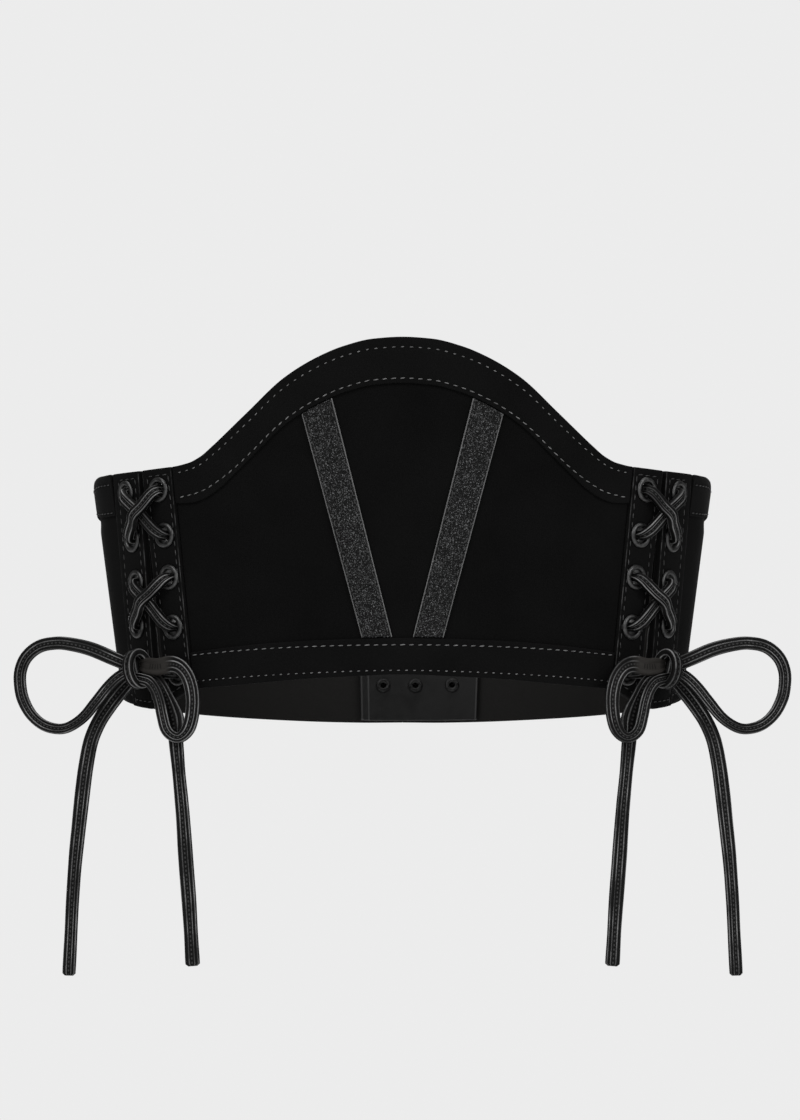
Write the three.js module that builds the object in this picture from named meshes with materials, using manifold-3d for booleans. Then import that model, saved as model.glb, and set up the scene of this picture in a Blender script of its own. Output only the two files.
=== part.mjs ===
import * as THREE from 'three';
import { mergeVertices } from 'three/addons/utils/BufferGeometryUtils.js';
import Module from 'manifold-3d';

// A wide corset belt with two laced sides, in millimetres. +Z is up and -Y is the front.
// The origin is the centre of the waist's opening, level with the middle of the hem.

// The worn form: an ellipse that widens with height
const HEM_HALF_WIDTH = 124.85;
const DEPTH_RATIO = 0.69;
const WIDENING = 0.143;

// Layers through the wall, as distances out from the worn form
const PANEL = { inner: -2.3, outer: -0.4 };
const TRIM = { inner: -0.1, outer: 0.9 };
const PLACKET = { inner: -2.3, outer: 1.1 };
const TAB = { inner: -4.0, outer: -2.6 };

// Edges: height at each angle from the middle of the front
const TOP_EDGE = [
  { angle: 0, height: 145.3 },
  { angle: 5, height: 144.55 },
  { angle: 10, height: 141.7 },
  { angle: 15, height: 136.9 },
  { angle: 21, height: 128.8 },
  { angle: 28, height: 115.6 },
  { angle: 33, height: 106.75 },
  { angle: 36, height: 101.9 },
  { angle: 39.5, height: 97.15 },
  { angle: 42.5, height: 95.05 },
  { angle: 46.5, height: 94.25 },
  { angle: 54, height: 94.4 },
  { angle: 64, height: 95.3 },
  { angle: 72, height: 96.4 },
  { angle: 80, height: 97.5 },
  { angle: 90, height: 97.9 },
  { angle: 180, height: 97.9 },
];
const HEM_EDGE = [
  { angle: 0, height: 0 },
  { angle: 12, height: -0.8 },
  { angle: 20, height: -1.3 },
  { angle: 28, height: -2.1 },
  { angle: 37, height: -2.8 },
  { angle: 46, height: -3.0 },
  { angle: 50, height: -4.4 },
  { angle: 54, height: -7.0 },
  { angle: 58, height: -9.0 },
  { angle: 62, height: -9.4 },
  { angle: 66, height: -8.4 },
  { angle: 70, height: -7.1 },
  { angle: 75, height: -5.1 },
  { angle: 80, height: -2.3 },
  { angle: 85, height: -0.7 },
  { angle: 90, height: 0 },
  { angle: 110, height: -0.2 },
  { angle: 132, height: -0.5 },
  { angle: 150, height: -0.7 },
  { angle: 165, height: -0.95 },
  { angle: 180, height: -1.0 },
];
const BAND_TOP = [
  { angle: 0, height: 15.6 },
  { angle: 18, height: 15.1 },
  { angle: 29, height: 14.5 },
  { angle: 41, height: 13.4 },
  { angle: 46.5, height: 12.9 },
];
const FACING_HEIGHT = [
  { angle: 0, height: 20.0 },
  { angle: 34, height: 20.0 },
  { angle: 40, height: 18.2 },
  { angle: 46.5, height: 16.0 },
];
const BACK_FACING_HEIGHT = 18.4;

// Seams and free edges beside the lacing: angle at the top edge and at hem level
const SEAM_TOP = 93;
const SEAM = {
  front: { top: 46.8, hem: 47.1 },
  frontEdge: { top: 55.6, hem: 56.1 },
  backEdge: { top: 56.6, hem: 60.0 },
  back: { top: 67.2, hem: 72.6 },
};
// Gaps in degrees round the belt, about 0.4 mm and 0.7 mm
const SEAM_GAP = 0.24;
const TRIM_GAP = 0.4;
const CENTRE_BACK = 179.93;

// Columns of faces round each wall
const COLUMNS = { front: 28, band: 20, back: 22, placket: 3, tab: 6, strap: 2 };

// Eyelets of the two columns beside each lacing, from the top down
const EYELETS = {
  front: [
    { angle: 50.8, height: 84.95 },
    { angle: 50.45, height: 64.9 },
    { angle: 50.4, height: 46.5 },
    { angle: 50.8, height: 24.7 },
    { angle: 50.9, height: 4.6 },
  ],
  back: [
    { angle: 62.0, height: 86.0 },
    { angle: 61.8, height: 65.3 },
    { angle: 62.25, height: 46.5 },
    { angle: 64.2, height: 27.75 },
    { angle: 64.9, height: 7.5 },
  ],
};
const RING_SIDES = 10;
const EYELET = { bore: 3.3, crest: 3.6, flange: 5.6, barrel: 4.0, washer: 5.0 };
const EYELET_HOLE = 4.6;
const EYELET_RISE = { crest: 1.3, seat: 0.3 };
const WASHER = { seat: 4.0, back: 4.6 };
const DRILL_LENGTH = 14;
// Clearance between pieces that lie against each other
const TOUCH_GAP = 0.3;

// Two leather straps down the front: distance of each edge from the middle plane at each end
const STRAP = { topInner: 30.4, topOuter: 43.6, bottomInner: 4.4, bottomOuter: 17.6 };
const STRAP_TOP_HEIGHT = { inner: 119.6, outer: 112.4 };
const STRAP_END_GAP = 0.4;
const STRAP_STEPS = 8;

// Leather tab inside the centre of the back, its small rings and the stud above them
const TAB_ANGLES = { from: 163.6, to: 189.1 };
const TAB_HEIGHTS = { low: -0.6, high: 92.5 };
const TAB_RINGS = [169.3, 177.2, 184.1];
const TAB_RING_HEIGHT = 15.8;
const TAB_RING = { bore: 1.15, flange: 3.3, barrel: 1.9, rise: 0.8, hole: 2.3 };
const STUD = { angle: 184.5, height: 52, post: 1.7, head: 4.2, crown: 2.5, thick: 1.1, hole: 2.1 };

// Lace: a folded leather strip, wider than it is thick, with flat faces and rounded edges
const LACE = { width: 5.4, thick: 3.2, flatShare: 0.66, edgeShare: 0.4 };
const KNOT = { angle: 60.5, height: 8, out: 8.5, across: 4.7, tall: 9.4, deep: 4.8 };
const KNOT_SIDES = { around: 10, down: 7 };
const KNOT_CLEARANCE = 0.35;

// How a strand of lace leaves an eyelet: distance along the strand, distance out and share of its
// full section, because the eyelet squeezes it
const DIVE = [
  { along: 0.2, out: 2.3, size: 0.84 },
  { along: 1.4, out: 3.95, size: 0.95 },
  { along: 4.4, out: 4.85, size: 1 },
];
const DIVE_INSIDE = [
  { along: 0.3, out: -4.5, size: 0.88 },
  { along: 2.2, out: -5.8, size: 1 },
];
const BORE = { out: -1.0, size: 0.84 };
const STRAND_OUT = { under: 3.9, over: 7.6, inside: -5.8 };

// The lowest front eyelet's strand up to the knot, and the lowest back eyelet's: share of the way
const FRONT_TO_KNOT = [
  { share: 0.01, out: 2.4, size: 0.84 },
  { share: 0.09, out: 4.1, size: 0.93 },
  { share: 0.28, out: 5.1, size: 1 },
  { share: 0.55, out: 5.1, size: 1 },
  { share: 0.88, out: 5.4, size: 1 },
];
const BACK_TO_KNOT = [
  { share: 0.02, out: 2.3, size: 0.84 },
  { share: 0.3, out: 4.4, size: 0.95 },
  { share: 0.7, out: 7.2, size: 1 },
];

// Bow on the right-hand side: points that each strand follows, as x, y, z
const LOOP_BACK = [
  [116, -47.5, 7.5], [121, -47, 9.5], [127, -47.5, 12], [136.9, -47, 16.2], [146, -45, 18.6],
  [152.5, -42.5, 19.4], [160.2, -39, 18.3], [166, -36, 14], [168.7, -34, 7.9], [168.6, -34.5, 1],
  [167.1, -36, -5], [163.3, -39, -11.8], [157.7, -42.5, -16.8], [151.1, -46, -19], [146, -48.5, -18.4],
  [139.8, -50.5, -14.5], [134, -52, -7.8],
  [129, -52.6, -1.5], [124.8, -52, 2.8], [121, -50.5, 5.3], [117.5, -49, 6.5],
];
const LOOP_FRONT = [
  [116, -49, 8.5], [112, -54, 8.8], [107, -58.5, 8.3], [101, -63.5, 7.5], [96.4, -67.5, 5.4],
  [93, -70.5, 0.7], [91.2, -72, -5.4], [90.8, -72.3, -11.6], [91.6, -71.8, -18.3], [93.5, -70.8, -23],
  [96.6, -69.8, -25.5], [99.7, -69, -24.8], [102.4, -68, -21.8], [104.1, -66.8, -15.9], [105.5, -65.3, -9.4],
  [107.5, -63, -3.8], [110.3, -59.8, 0], [113.6, -56.4, 1.6], [117.4, -51.8, 2.8],
];
const TAIL_BACK = [
  [117, -47, 4], [121, -46.5, 0.5], [125, -46.5, -4], [129, -46.8, -9.5], [133, -47, -16], [136.3, -47, -24],
  [138.3, -47, -34], [139.7, -47, -45], [141.1, -47, -59], [142.7, -47, -76], [143.8, -47, -94],
  [144.4, -47, -110], [145.1, -47, -127],
];
const TAIL_FRONT = [
  [115, -49, 3.2], [111.3, -53.4, 2.6], [107.8, -56.2, 1.4], [105.2, -57.8, -1.8], [102.3, -59.5, -8],
  [100.3, -60.8, -14.5], [99.1, -62, -20.4], [98.4, -63, -27], [97, -63.5, -41], [95.3, -64, -58],
  [93.8, -64, -78], [92.1, -64, -99], [90.5, -64, -124],
];
const BOW = {
  loop_back: { route: LOOP_BACK, steps: 18 },
  loop_front: { route: LOOP_FRONT, steps: 16 },
  tail_back: { route: TAIL_BACK, steps: 9 },
  tail_front: { route: TAIL_FRONT, steps: 8 },
};
const BOW_FACING = [0.25, -1, 0];

// Colours and surfaces
const FINISH = {
  suede: { color: 0x141414, roughness: 0.95, metalness: 0 },
  leather: { color: 0x2a2b2b, roughness: 0.5, metalness: 0 },
  lace: { color: 0x1c1c1c, roughness: 0.42, metalness: 0 },
  metal: { color: 0x2e2e30, roughness: 0.35, metalness: 1 },
};

const wasm = await Module();
wasm.setup();

// Height from a table of angles, on a smooth curve through its rows
function heightAt(table, angle) {
  const turned = Math.min(Math.abs(angle), 360 - Math.abs(angle));
  const last = table.length - 2;
  let i = table.findIndex((row, k) => k <= last && turned <= table[k + 1].angle);
  if (i < 0) i = last;
  const slope = (a, b) => (table[b].height - table[a].height) / (table[b].angle - table[a].angle);
  const span = table[i + 1].angle - table[i].angle;
  const here = slope(i, i + 1);
  const before = i > 0 ? slope(i - 1, i) : -here;
  const after = i < last ? slope(i + 1, i + 2) : here;
  const flatter = (a, b) => (a * b <= 0 ? 0 : (2 * a * b) / (a + b));
  const p = (turned - table[i].angle) / span;
  const start = flatter(before, here) * span;
  const end = flatter(here, after) * span;
  const low = table[i].height;
  const rise = table[i + 1].height - low;
  return low + start * p + (3 * rise - 2 * start - end) * p ** 2 + (start + end - 2 * rise) * p ** 3;
}

const angleAt = (seam, height) => seam.hem + ((seam.top - seam.hem) * height) / SEAM_TOP;

// Direction straight out of the worn form
function outwardAt(angle, height) {
  const turn = THREE.MathUtils.degToRad(angle);
  const a = HEM_HALF_WIDTH + WIDENING * height;
  const b = DEPTH_RATIO * a;
  return new THREE.Vector3(b * Math.sin(turn), -a * Math.cos(turn), -WIDENING * b).normalize();
}

// Point at an angle, a height and a distance out from the worn form
function pointAt(angle, height, out) {
  const turn = THREE.MathUtils.degToRad(angle);
  const a = HEM_HALF_WIDTH + WIDENING * height;
  const point = new THREE.Vector3(a * Math.sin(turn), -DEPTH_RATIO * a * Math.cos(turn), height);
  return point.addScaledVector(outwardAt(angle, height), out);
}

// Closed surface with shared corners, fit for joining and cutting
function merged(geometry) {
  const plain = geometry.index ? geometry.clone() : geometry;
  plain.deleteAttribute('normal');
  plain.deleteAttribute('uv');
  return mergeVertices(plain, 1e-4);
}

function toSolid(geometry) {
  const closed = merged(geometry);
  const vertProperties = Float32Array.from(closed.attributes.position.array);
  const triVerts = Uint32Array.from(closed.index.array);
  return new wasm.Manifold(new wasm.Mesh({ numProp: 3, vertProperties, triVerts }));
}

function fromSolid(solid) {
  const mesh = solid.getMesh();
  const geometry = new THREE.BufferGeometry();
  geometry.setAttribute('position', new THREE.BufferAttribute(Float32Array.from(mesh.vertProperties), 3));
  geometry.setIndex(new THREE.BufferAttribute(Uint32Array.from(mesh.triVerts), 1));
  return geometry;
}

function cut(geometry, tools) {
  let solid = toSolid(geometry);
  for (const tool of tools) solid = solid.subtract(toSolid(tool));
  return fromSolid(solid);
}

// The same shape on the left-hand side, with its faces still pointing out
function mirrored(geometry) {
  const copy = merged(geometry).scale(-1, 1, 1);
  const corners = copy.index.array;
  for (let i = 0; i < corners.length; i += 3) {
    [corners[i + 1], corners[i + 2]] = [corners[i + 2], corners[i + 1]];
  }
  return copy;
}

// Wall that follows the worn form. place(u, v) gives its angle and height, from 0 to 1 each way.
function wall(layer, columns, rows, place) {
  const geometry = new THREE.BoxGeometry(1, 1, 1, columns, rows, 1);
  const corner = geometry.attributes.position;
  for (let i = 0; i < corner.count; i += 1) {
    const { angle, height } = place(corner.getX(i) + 0.5, corner.getY(i) + 0.5);
    const out = corner.getZ(i) > 0 ? layer.outer : layer.inner;
    corner.setXYZ(i, ...pointAt(angle, height, out).toArray());
  }
  return merged(geometry);
}

// Place on a strip between two leaning seams and two edges
function between(fromSeam, toSeam, lowEdge, highEdge) {
  return (u, v) => {
    const mix = THREE.MathUtils.lerp;
    const hemAngle = mix(angleAt(fromSeam, 0), angleAt(toSeam, 0), u);
    const topAngle = mix(angleAt(fromSeam, SEAM_TOP), angleAt(toSeam, SEAM_TOP), u);
    return { angle: mix(hemAngle, topAngle, v), height: mix(lowEdge(hemAngle), highEdge(topAngle), v) };
  };
}

const shifted = (seam, by) => ({ top: seam.top + by, hem: seam.hem + by });
const upright = (angle) => ({ top: angle, hem: angle });
const negative = (seam) => ({ top: -seam.top, hem: -seam.hem });
const topEdge = (angle) => heightAt(TOP_EDGE, angle);
const hemEdge = (angle) => heightAt(HEM_EDGE, angle);

// Turns a shape made round +Y so that it stands straight out of the belt
function seat(object, angle, height) {
  object.position.copy(pointAt(angle, height, 0));
  object.quaternion.setFromUnitVectors(new THREE.Vector3(0, 1, 0), outwardAt(angle, height));
  return object;
}

function holeThrough(angle, height, radius) {
  const drill = seat(new THREE.Object3D(), angle, height);
  drill.updateMatrix();
  return new THREE.CylinderGeometry(radius, radius, DRILL_LENGTH, RING_SIDES).applyMatrix4(drill.matrix);
}

function piece(name, geometry, finish) {
  const mesh = new THREE.Mesh(geometry, new THREE.MeshStandardMaterial(finish));
  mesh.name = name;
  return mesh;
}

function frontPanel() {
  const end = shifted(SEAM.front, -SEAM_GAP);
  return wall(PANEL, COLUMNS.front, 1, between(negative(end), end, hemEdge, topEdge));
}

function topFacing() {
  const end = shifted(SEAM.front, -SEAM_GAP);
  const low = (angle) => topEdge(angle) - heightAt(FACING_HEIGHT, angle);
  const topOnly = upright(end.top);
  return wall(TRIM, COLUMNS.front, 1, between(negative(topOnly), topOnly, low, topEdge));
}

function bottomBand() {
  const hemOnly = upright(SEAM.front.hem - TRIM_GAP);
  const high = (angle) => heightAt(BAND_TOP, angle);
  return wall(TRIM, COLUMNS.band, 1, between(negative(hemOnly), hemOnly, hemEdge, high));
}

// Angle whose point on the worn form lies a given distance from the middle plane
function angleAcross(across, height) {
  return THREE.MathUtils.radToDeg(Math.asin(across / (HEM_HALF_WIDTH + WIDENING * height)));
}

// One strap, from the band's seam up to the facing's
function strap() {
  const facingLow = (angle) => topEdge(angle) - heightAt(FACING_HEIGHT, angle) - STRAP_END_GAP;
  const bandHigh = (angle) => heightAt(BAND_TOP, angle) + STRAP_END_GAP;
  return wall(TRIM, COLUMNS.strap, STRAP_STEPS, (u, v) => {
    const across = {
      low: THREE.MathUtils.lerp(STRAP.bottomInner, STRAP.bottomOuter, u),
      high: THREE.MathUtils.lerp(STRAP.topInner, STRAP.topOuter, u),
    };
    const topNear = THREE.MathUtils.lerp(STRAP_TOP_HEIGHT.inner, STRAP_TOP_HEIGHT.outer, u);
    const lowHeight = bandHigh(angleAcross(across.low, BAND_TOP[0].height));
    const topHeight = facingLow(angleAcross(across.high, topNear));
    const height = THREE.MathUtils.lerp(lowHeight, topHeight, v);
    return { angle: angleAcross(THREE.MathUtils.lerp(across.low, across.high, v), height), height };
  });
}

function placket(fromSeam, toSeam, eyelets) {
  const strip = wall(PLACKET, COLUMNS.placket, 1, between(fromSeam, toSeam, hemEdge, topEdge));
  return cut(strip, eyelets.map(({ angle, height }) => holeThrough(angle, height, EYELET_HOLE)));
}

// A ring made by turning a closed outline round its own axis, given as radius and distance out
function ring(outline) {
  const loop = [...outline, outline[0]].map(([radius, out]) => new THREE.Vector2(radius, out));
  return merged(new THREE.LatheGeometry(loop, RING_SIDES));
}

function eyelet() {
  const face = PLACKET.outer;
  return ring([
    [EYELET.bore, face - WASHER.back],
    [EYELET.washer, face - WASHER.seat],
    [EYELET.barrel, face - WASHER.seat],
    [EYELET.barrel, face + EYELET_RISE.seat],
    [EYELET.flange, face + EYELET_RISE.seat],
    [EYELET.crest, face + EYELET_RISE.crest],
  ]);
}

function backPanel(studHole) {
  const start = shifted(SEAM.back, SEAM_GAP);
  const plain = wall(PANEL, COLUMNS.back, 1, between(start, upright(CENTRE_BACK), hemEdge, topEdge));
  return studHole ? cut(plain, [studHole]) : plain;
}

function backFacing() {
  const lowest = topEdge(SEAM.back.top) - BACK_FACING_HEIGHT;
  const start = upright(angleAt(SEAM.back, lowest) + TRIM_GAP);
  const low = (angle) => topEdge(angle) - BACK_FACING_HEIGHT;
  return wall(TRIM, COLUMNS.back, 1, between(start, upright(CENTRE_BACK), low, topEdge));
}

function backTab() {
  const { from, to } = TAB_ANGLES;
  const { low, high } = TAB_HEIGHTS;
  const plain = wall(TAB, COLUMNS.tab, 1, between(upright(from), upright(to), () => low, () => high));
  const holes = TAB_RINGS.map((angle) => holeThrough(angle, TAB_RING_HEIGHT, TAB_RING.hole));
  return cut(plain, [...holes, holeThrough(STUD.angle, STUD.height, STUD.hole)]);
}

function tabRing() {
  const seatOut = TAB.inner - TOUCH_GAP;
  return ring([
    [TAB_RING.bore, seatOut - TAB_RING.rise],
    [TAB_RING.flange, seatOut],
    [TAB_RING.barrel, seatOut],
    [TAB_RING.barrel, TAB.outer],
    [TAB_RING.bore, TAB.outer],
  ]);
}

function backStud() {
  const outside = PANEL.outer + TOUCH_GAP;
  const inside = TAB.inner - TOUCH_GAP;
  const outline = [
    [0, inside - STUD.thick],
    [STUD.head, inside],
    [STUD.post, inside],
    [STUD.post, outside],
    [STUD.head, outside],
    [STUD.crown, outside + STUD.thick],
    [0, outside + STUD.thick],
  ].map(([radius, out]) => new THREE.Vector2(radius, out));
  return merged(new THREE.LatheGeometry(outline, RING_SIDES));
}

// Station of the lace at a share of the way between two places
function station(start, end, share, { out, size }, flat) {
  const angle = THREE.MathUtils.lerp(start.angle, end.angle, share);
  const height = THREE.MathUtils.lerp(start.height, end.height, share);
  return { angle, height, out, size, flat };
}

// Stations of one strand between two eyelets. dive lists how it leaves each of them, and shares
// where the stations between them stand.
function strand(start, end, dive, shares, middle) {
  const across = pointAt(start.angle, start.height, 0).distanceTo(pointAt(end.angle, end.height, 0));
  const rim = dive[dive.length - 1];
  const rimShare = rim.along / across;
  const leave = dive.map((step) => station(start, end, step.along / across, step, step === rim));
  const enter = dive.map((step) => station(start, end, 1 - step.along / across, step, step === rim));
  const bulging = shares.map((share) => {
    const out = THREE.MathUtils.lerp(rim.out, middle, Math.sin(Math.PI * share));
    return station(start, end, THREE.MathUtils.lerp(rimShare, 1 - rimShare, share), { out, size: 1 }, true);
  });
  return [...leave, ...bulging, ...enter.reverse()];
}

// The lace from the knot through all ten eyelets of one side and back to the knot
function laceStations() {
  const { front, back } = EYELETS;
  const bore = (place) => ({ ...place, ...BORE, flat: false });
  const over = (a, b) => strand(a, b, DIVE, [0.25, 0.5, 0.75], STRAND_OUT.over);
  const under = (a, b) => strand(a, b, DIVE, [0.5], STRAND_OUT.under);
  const inside = (a, b) => strand(a, b, DIVE_INSIDE, [0.5], STRAND_OUT.inside);
  const toKnot = (place, steps) =>
    steps.map((step) => station(place, KNOT, step.share, step, step.size === 1));
  return [
    ...toKnot(front[4], FRONT_TO_KNOT).reverse(),
    bore(front[4]), ...inside(front[4], front[3]), bore(front[3]),
    ...under(front[3], back[2]), bore(back[2]),
    ...inside(back[2], back[1]), bore(back[1]),
    ...over(back[1], front[0]), bore(front[0]),
    ...inside(front[0], back[0]), bore(back[0]),
    ...under(back[0], front[1]), bore(front[1]),
    ...inside(front[1], front[2]), bore(front[2]),
    ...over(front[2], back[3]), bore(back[3]),
    ...inside(back[3], back[4]), bore(back[4]),
    ...toKnot(back[4], BACK_TO_KNOT),
  ];
}

// A path whose sections stand at chosen stations, lie flat where they are told to and may be
// smaller than the full section
class LacePath extends THREE.Curve {
  constructor(points, facings, sizes) {
    super();
    this.points = points;
    this.facings = facings;
    this.sizes = sizes;
  }

  getPointAt(u, target = new THREE.Vector3()) {
    return target.copy(this.points[Math.round(u * (this.points.length - 1))]);
  }

  computeFrenetFrames() {
    const { points, facings, sizes } = this;
    const last = points.length - 1;
    const tangents = points.map((point, i) =>
      points[Math.min(i + 1, last)].clone().sub(points[Math.max(i - 1, 0)]).normalize());
    const carried = [facings.find((facing) => facing).clone().projectOnPlane(tangents[0]).normalize()];
    for (let i = 1; i <= last; i += 1) {
      const turn = new THREE.Quaternion().setFromUnitVectors(tangents[i - 1], tangents[i]);
      carried.push(carried[i - 1].clone().applyQuaternion(turn));
    }
    const twists = this.twists(tangents, carried);
    const binormals = carried.map((facing, i) => facing.applyAxisAngle(tangents[i], twists[i]));
    const normals = binormals.map((binormal, i) => binormal.clone().cross(tangents[i]).normalize());
    const sized = (directions) => directions.map((direction, i) => direction.multiplyScalar(sizes[i]));
    return { tangents, normals: sized(normals), binormals: sized(binormals) };
  }

  // Turn about the path that lays each flat station flat, shared out evenly between them
  twists(tangents, carried) {
    const wanted = [];
    let before = 0;
    this.facings.forEach((facing, i) => {
      if (!facing) return;
      const flat = facing.clone().projectOnPlane(tangents[i]).normalize();
      const side = carried[i].clone().cross(flat).dot(tangents[i]);
      const turn = Math.atan2(side, carried[i].dot(flat));
      before = turn - Math.PI * Math.round((turn - before) / Math.PI);
      wanted.push({ at: i, turn: before });
    });
    return tangents.map((_, i) => {
      const next = wanted.findIndex(({ at }) => at >= i);
      if (next <= 0) return next === 0 ? wanted[0].turn : wanted[wanted.length - 1].turn;
      const [a, b] = [wanted[next - 1], wanted[next]];
      return THREE.MathUtils.lerp(a.turn, b.turn, (i - a.at) / (b.at - a.at));
    });
  }
}

// Eight-sided section of the folded lace
function laceSection() {
  const w = LACE.width / 2;
  const t = LACE.thick / 2;
  const flat = w * LACE.flatShare;
  const edge = t * LACE.edgeShare;
  const corners = [[w, edge], [flat, t], [-flat, t], [-w, edge]];
  const all = [...corners, ...corners.map(([x, y]) => [-x, -y])];
  return new THREE.Shape(all.map(([x, y]) => new THREE.Vector2(x, y)));
}

function laceAlong(points, facings, sizes) {
  const extrudePath = new LacePath(points, facings, sizes);
  const steps = points.length - 1;
  return merged(new THREE.ExtrudeGeometry(laceSection(), { steps, extrudePath, bevelEnabled: false }));
}

function threadedLace() {
  const stations = laceStations();
  const points = stations.map(({ angle, height, out }) => pointAt(angle, height, out));
  const facings = stations.map(({ angle, height, flat }) => (flat ? outwardAt(angle, height) : null));
  return laceAlong(points, facings, stations.map(({ size }) => size));
}

// A free strand of the bow, its broad side to the front and its sections evenly spaced
function freeLace({ route, steps }) {
  const curve = new THREE.CatmullRomCurve3(route.map((point) => new THREE.Vector3(...point)));
  const points = curve.getSpacedPoints(steps);
  const facing = new THREE.Vector3(...BOW_FACING).normalize();
  return laceAlong(points, points.map(() => facing), points.map(() => 1));
}

function knotShape(extra) {
  const knot = new THREE.SphereGeometry(1, KNOT_SIDES.around, KNOT_SIDES.down);
  knot.scale(KNOT.across + extra, KNOT.deep + extra, KNOT.tall + extra);
  const frame = new THREE.Matrix4();
  const out = outwardAt(KNOT.angle, KNOT.height);
  const up = new THREE.Vector3(0, 0, 1).projectOnPlane(out).normalize();
  frame.makeBasis(out.clone().cross(up), out, up);
  frame.setPosition(pointAt(KNOT.angle, KNOT.height, KNOT.out));
  return merged(knot).applyMatrix4(frame);
}

// The pieces of one side, made on the right and mirrored for the left
function sidePieces(side) {
  const handed = side === 'left' ? mirrored : (geometry) => geometry;
  const sign = side === 'left' ? -1 : 1;
  const group = new THREE.Group();
  const add = (name, geometry, finish) => group.add(piece(name, handed(geometry), finish));

  const edge = { front: SEAM.frontEdge, back: SEAM.backEdge };
  add(`front_placket_${side}`, placket(SEAM.front, edge.front, EYELETS.front), FINISH.suede);
  add(`back_placket_${side}`, placket(edge.back, SEAM.back, EYELETS.back), FINISH.suede);
  const studHole = side === 'left' ? holeThrough(360 - STUD.angle, STUD.height, STUD.hole) : null;
  add(`back_panel_${side}`, backPanel(studHole), FINISH.suede);
  add(`back_facing_${side}`, backFacing(), FINISH.suede);
  add(`strap_${side}`, strap(), FINISH.leather);

  for (const column of ['front', 'back']) {
    EYELETS[column].forEach(({ angle, height }, row) => {
      const mesh = piece(`eyelet_${column}_${side}_${row + 1}`, eyelet(), FINISH.metal);
      group.add(seat(mesh, sign * angle, height));
    });
  }

  const knotRoom = [knotShape(KNOT_CLEARANCE)];
  add(`knot_${side}`, knotShape(0), FINISH.lace);
  add(`lace_${side}`, cut(threadedLace(), knotRoom), FINISH.lace);
  for (const [name, strip] of Object.entries(BOW)) {
    add(`${name}_${side}`, cut(freeLace(strip), knotRoom), FINISH.lace);
  }
  return group;
}

function backClosure() {
  const group = new THREE.Group();
  group.add(piece('back_tab', backTab(), FINISH.leather));
  TAB_RINGS.forEach((angle, i) => {
    const mesh = piece(`tab_eyelet_${i + 1}`, tabRing(), FINISH.metal);
    group.add(seat(mesh, angle, TAB_RING_HEIGHT));
  });
  group.add(seat(piece('back_stud', backStud(), FINISH.metal), STUD.angle, STUD.height));
  return group;
}

const belt = new THREE.Group();
belt.add(piece('front_panel', frontPanel(), FINISH.suede));
belt.add(piece('top_facing', topFacing(), FINISH.suede));
belt.add(piece('bottom_band', bottomBand(), FINISH.suede));
belt.add(sidePieces('left'));
belt.add(sidePieces('right'));
belt.add(backClosure());

export default belt;
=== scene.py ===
import logging
import math
import random
from dataclasses import dataclass
from enum import Enum
from itertools import accumulate
from typing import Callable, Iterable, Sequence

import bmesh
import bpy
from mathutils import Matrix, Quaternion, Vector, kdtree, noise
from mathutils.geometry import interpolate_bezier


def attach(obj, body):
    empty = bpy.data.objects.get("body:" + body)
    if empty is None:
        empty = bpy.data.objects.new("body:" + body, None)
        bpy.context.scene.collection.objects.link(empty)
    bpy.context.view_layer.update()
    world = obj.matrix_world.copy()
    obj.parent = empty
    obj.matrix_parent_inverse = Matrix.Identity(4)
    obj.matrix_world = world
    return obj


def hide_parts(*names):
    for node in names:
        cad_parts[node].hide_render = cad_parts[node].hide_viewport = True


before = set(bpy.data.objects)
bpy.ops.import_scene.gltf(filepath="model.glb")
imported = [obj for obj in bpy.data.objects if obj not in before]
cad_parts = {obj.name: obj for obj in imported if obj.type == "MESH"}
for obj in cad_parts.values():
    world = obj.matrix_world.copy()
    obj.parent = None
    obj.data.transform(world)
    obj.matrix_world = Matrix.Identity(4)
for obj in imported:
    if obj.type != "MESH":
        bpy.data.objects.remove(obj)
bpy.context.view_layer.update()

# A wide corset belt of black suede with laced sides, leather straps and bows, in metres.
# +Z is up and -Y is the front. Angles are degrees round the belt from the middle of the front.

LOG = logging.getLogger("belt")
BODY = "root"

# A height at an angle, an angle and height at a share of the way, and an angle and height at u and v
Edge = Callable[[float], float]
Path = Callable[[float], tuple[float, float]]
Place = Callable[[float, float], tuple[float, float]]


def mix(a: float, b: float, share: float) -> float:
    """Value at a share of the way from a to b."""
    return a + (b - a) * share


def smooth(share: float) -> float:
    """A share from 0 to 1, eased at both ends."""
    kept = min(1.0, max(0.0, share))
    return kept * kept * (3 - 2 * kept)


def fade(distance: float, reach: float) -> float:
    """1 at no distance, falling softly to 0 at the reach."""
    return max(0.0, 1 - (distance / reach) ** 2) ** 2


def eased_slope(before: float, after: float) -> float:
    """Slope of a smooth curve where two straight lines meet, none at a top or a dip."""
    return 0.0 if before * after <= 0 else 2 * before * after / (before + after)


def travelled(points: Sequence[Vector]) -> list[float]:
    """Distance along a line to each of its points."""
    return list(accumulate(((b - a).length for a, b in zip(points, points[1:])), initial=0.0))


def located(distances: Sequence[float], wanted: Iterable[float]) -> list[tuple[int, float]]:
    """Finds places along a line.

    Args:
        distances: distance along the line to each of its points.
        wanted: distance to each place, in order.

    Returns:
        The point before each place, and the share of the way from there to the next point.
    """
    found, at = [], 0
    for distance in wanted:
        while at < len(distances) - 2 and distances[at + 1] < distance:
            at += 1
        found.append((at, (distance - distances[at]) / (distances[at + 1] - distances[at])))
    return found


class Side(Enum):
    """The wearer's two laced sides, each with the sign of its x and angle."""

    LEFT = -1
    RIGHT = 1

    @property
    def label(self) -> str:
        """The side's name, as it stands in the pieces' names."""
        return self.name.lower()

    def turned(self, point: Vector) -> Vector:
        """A point of the right-hand side, brought to this side."""
        return Vector((self.value * point.x, point.y, point.z))


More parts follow.
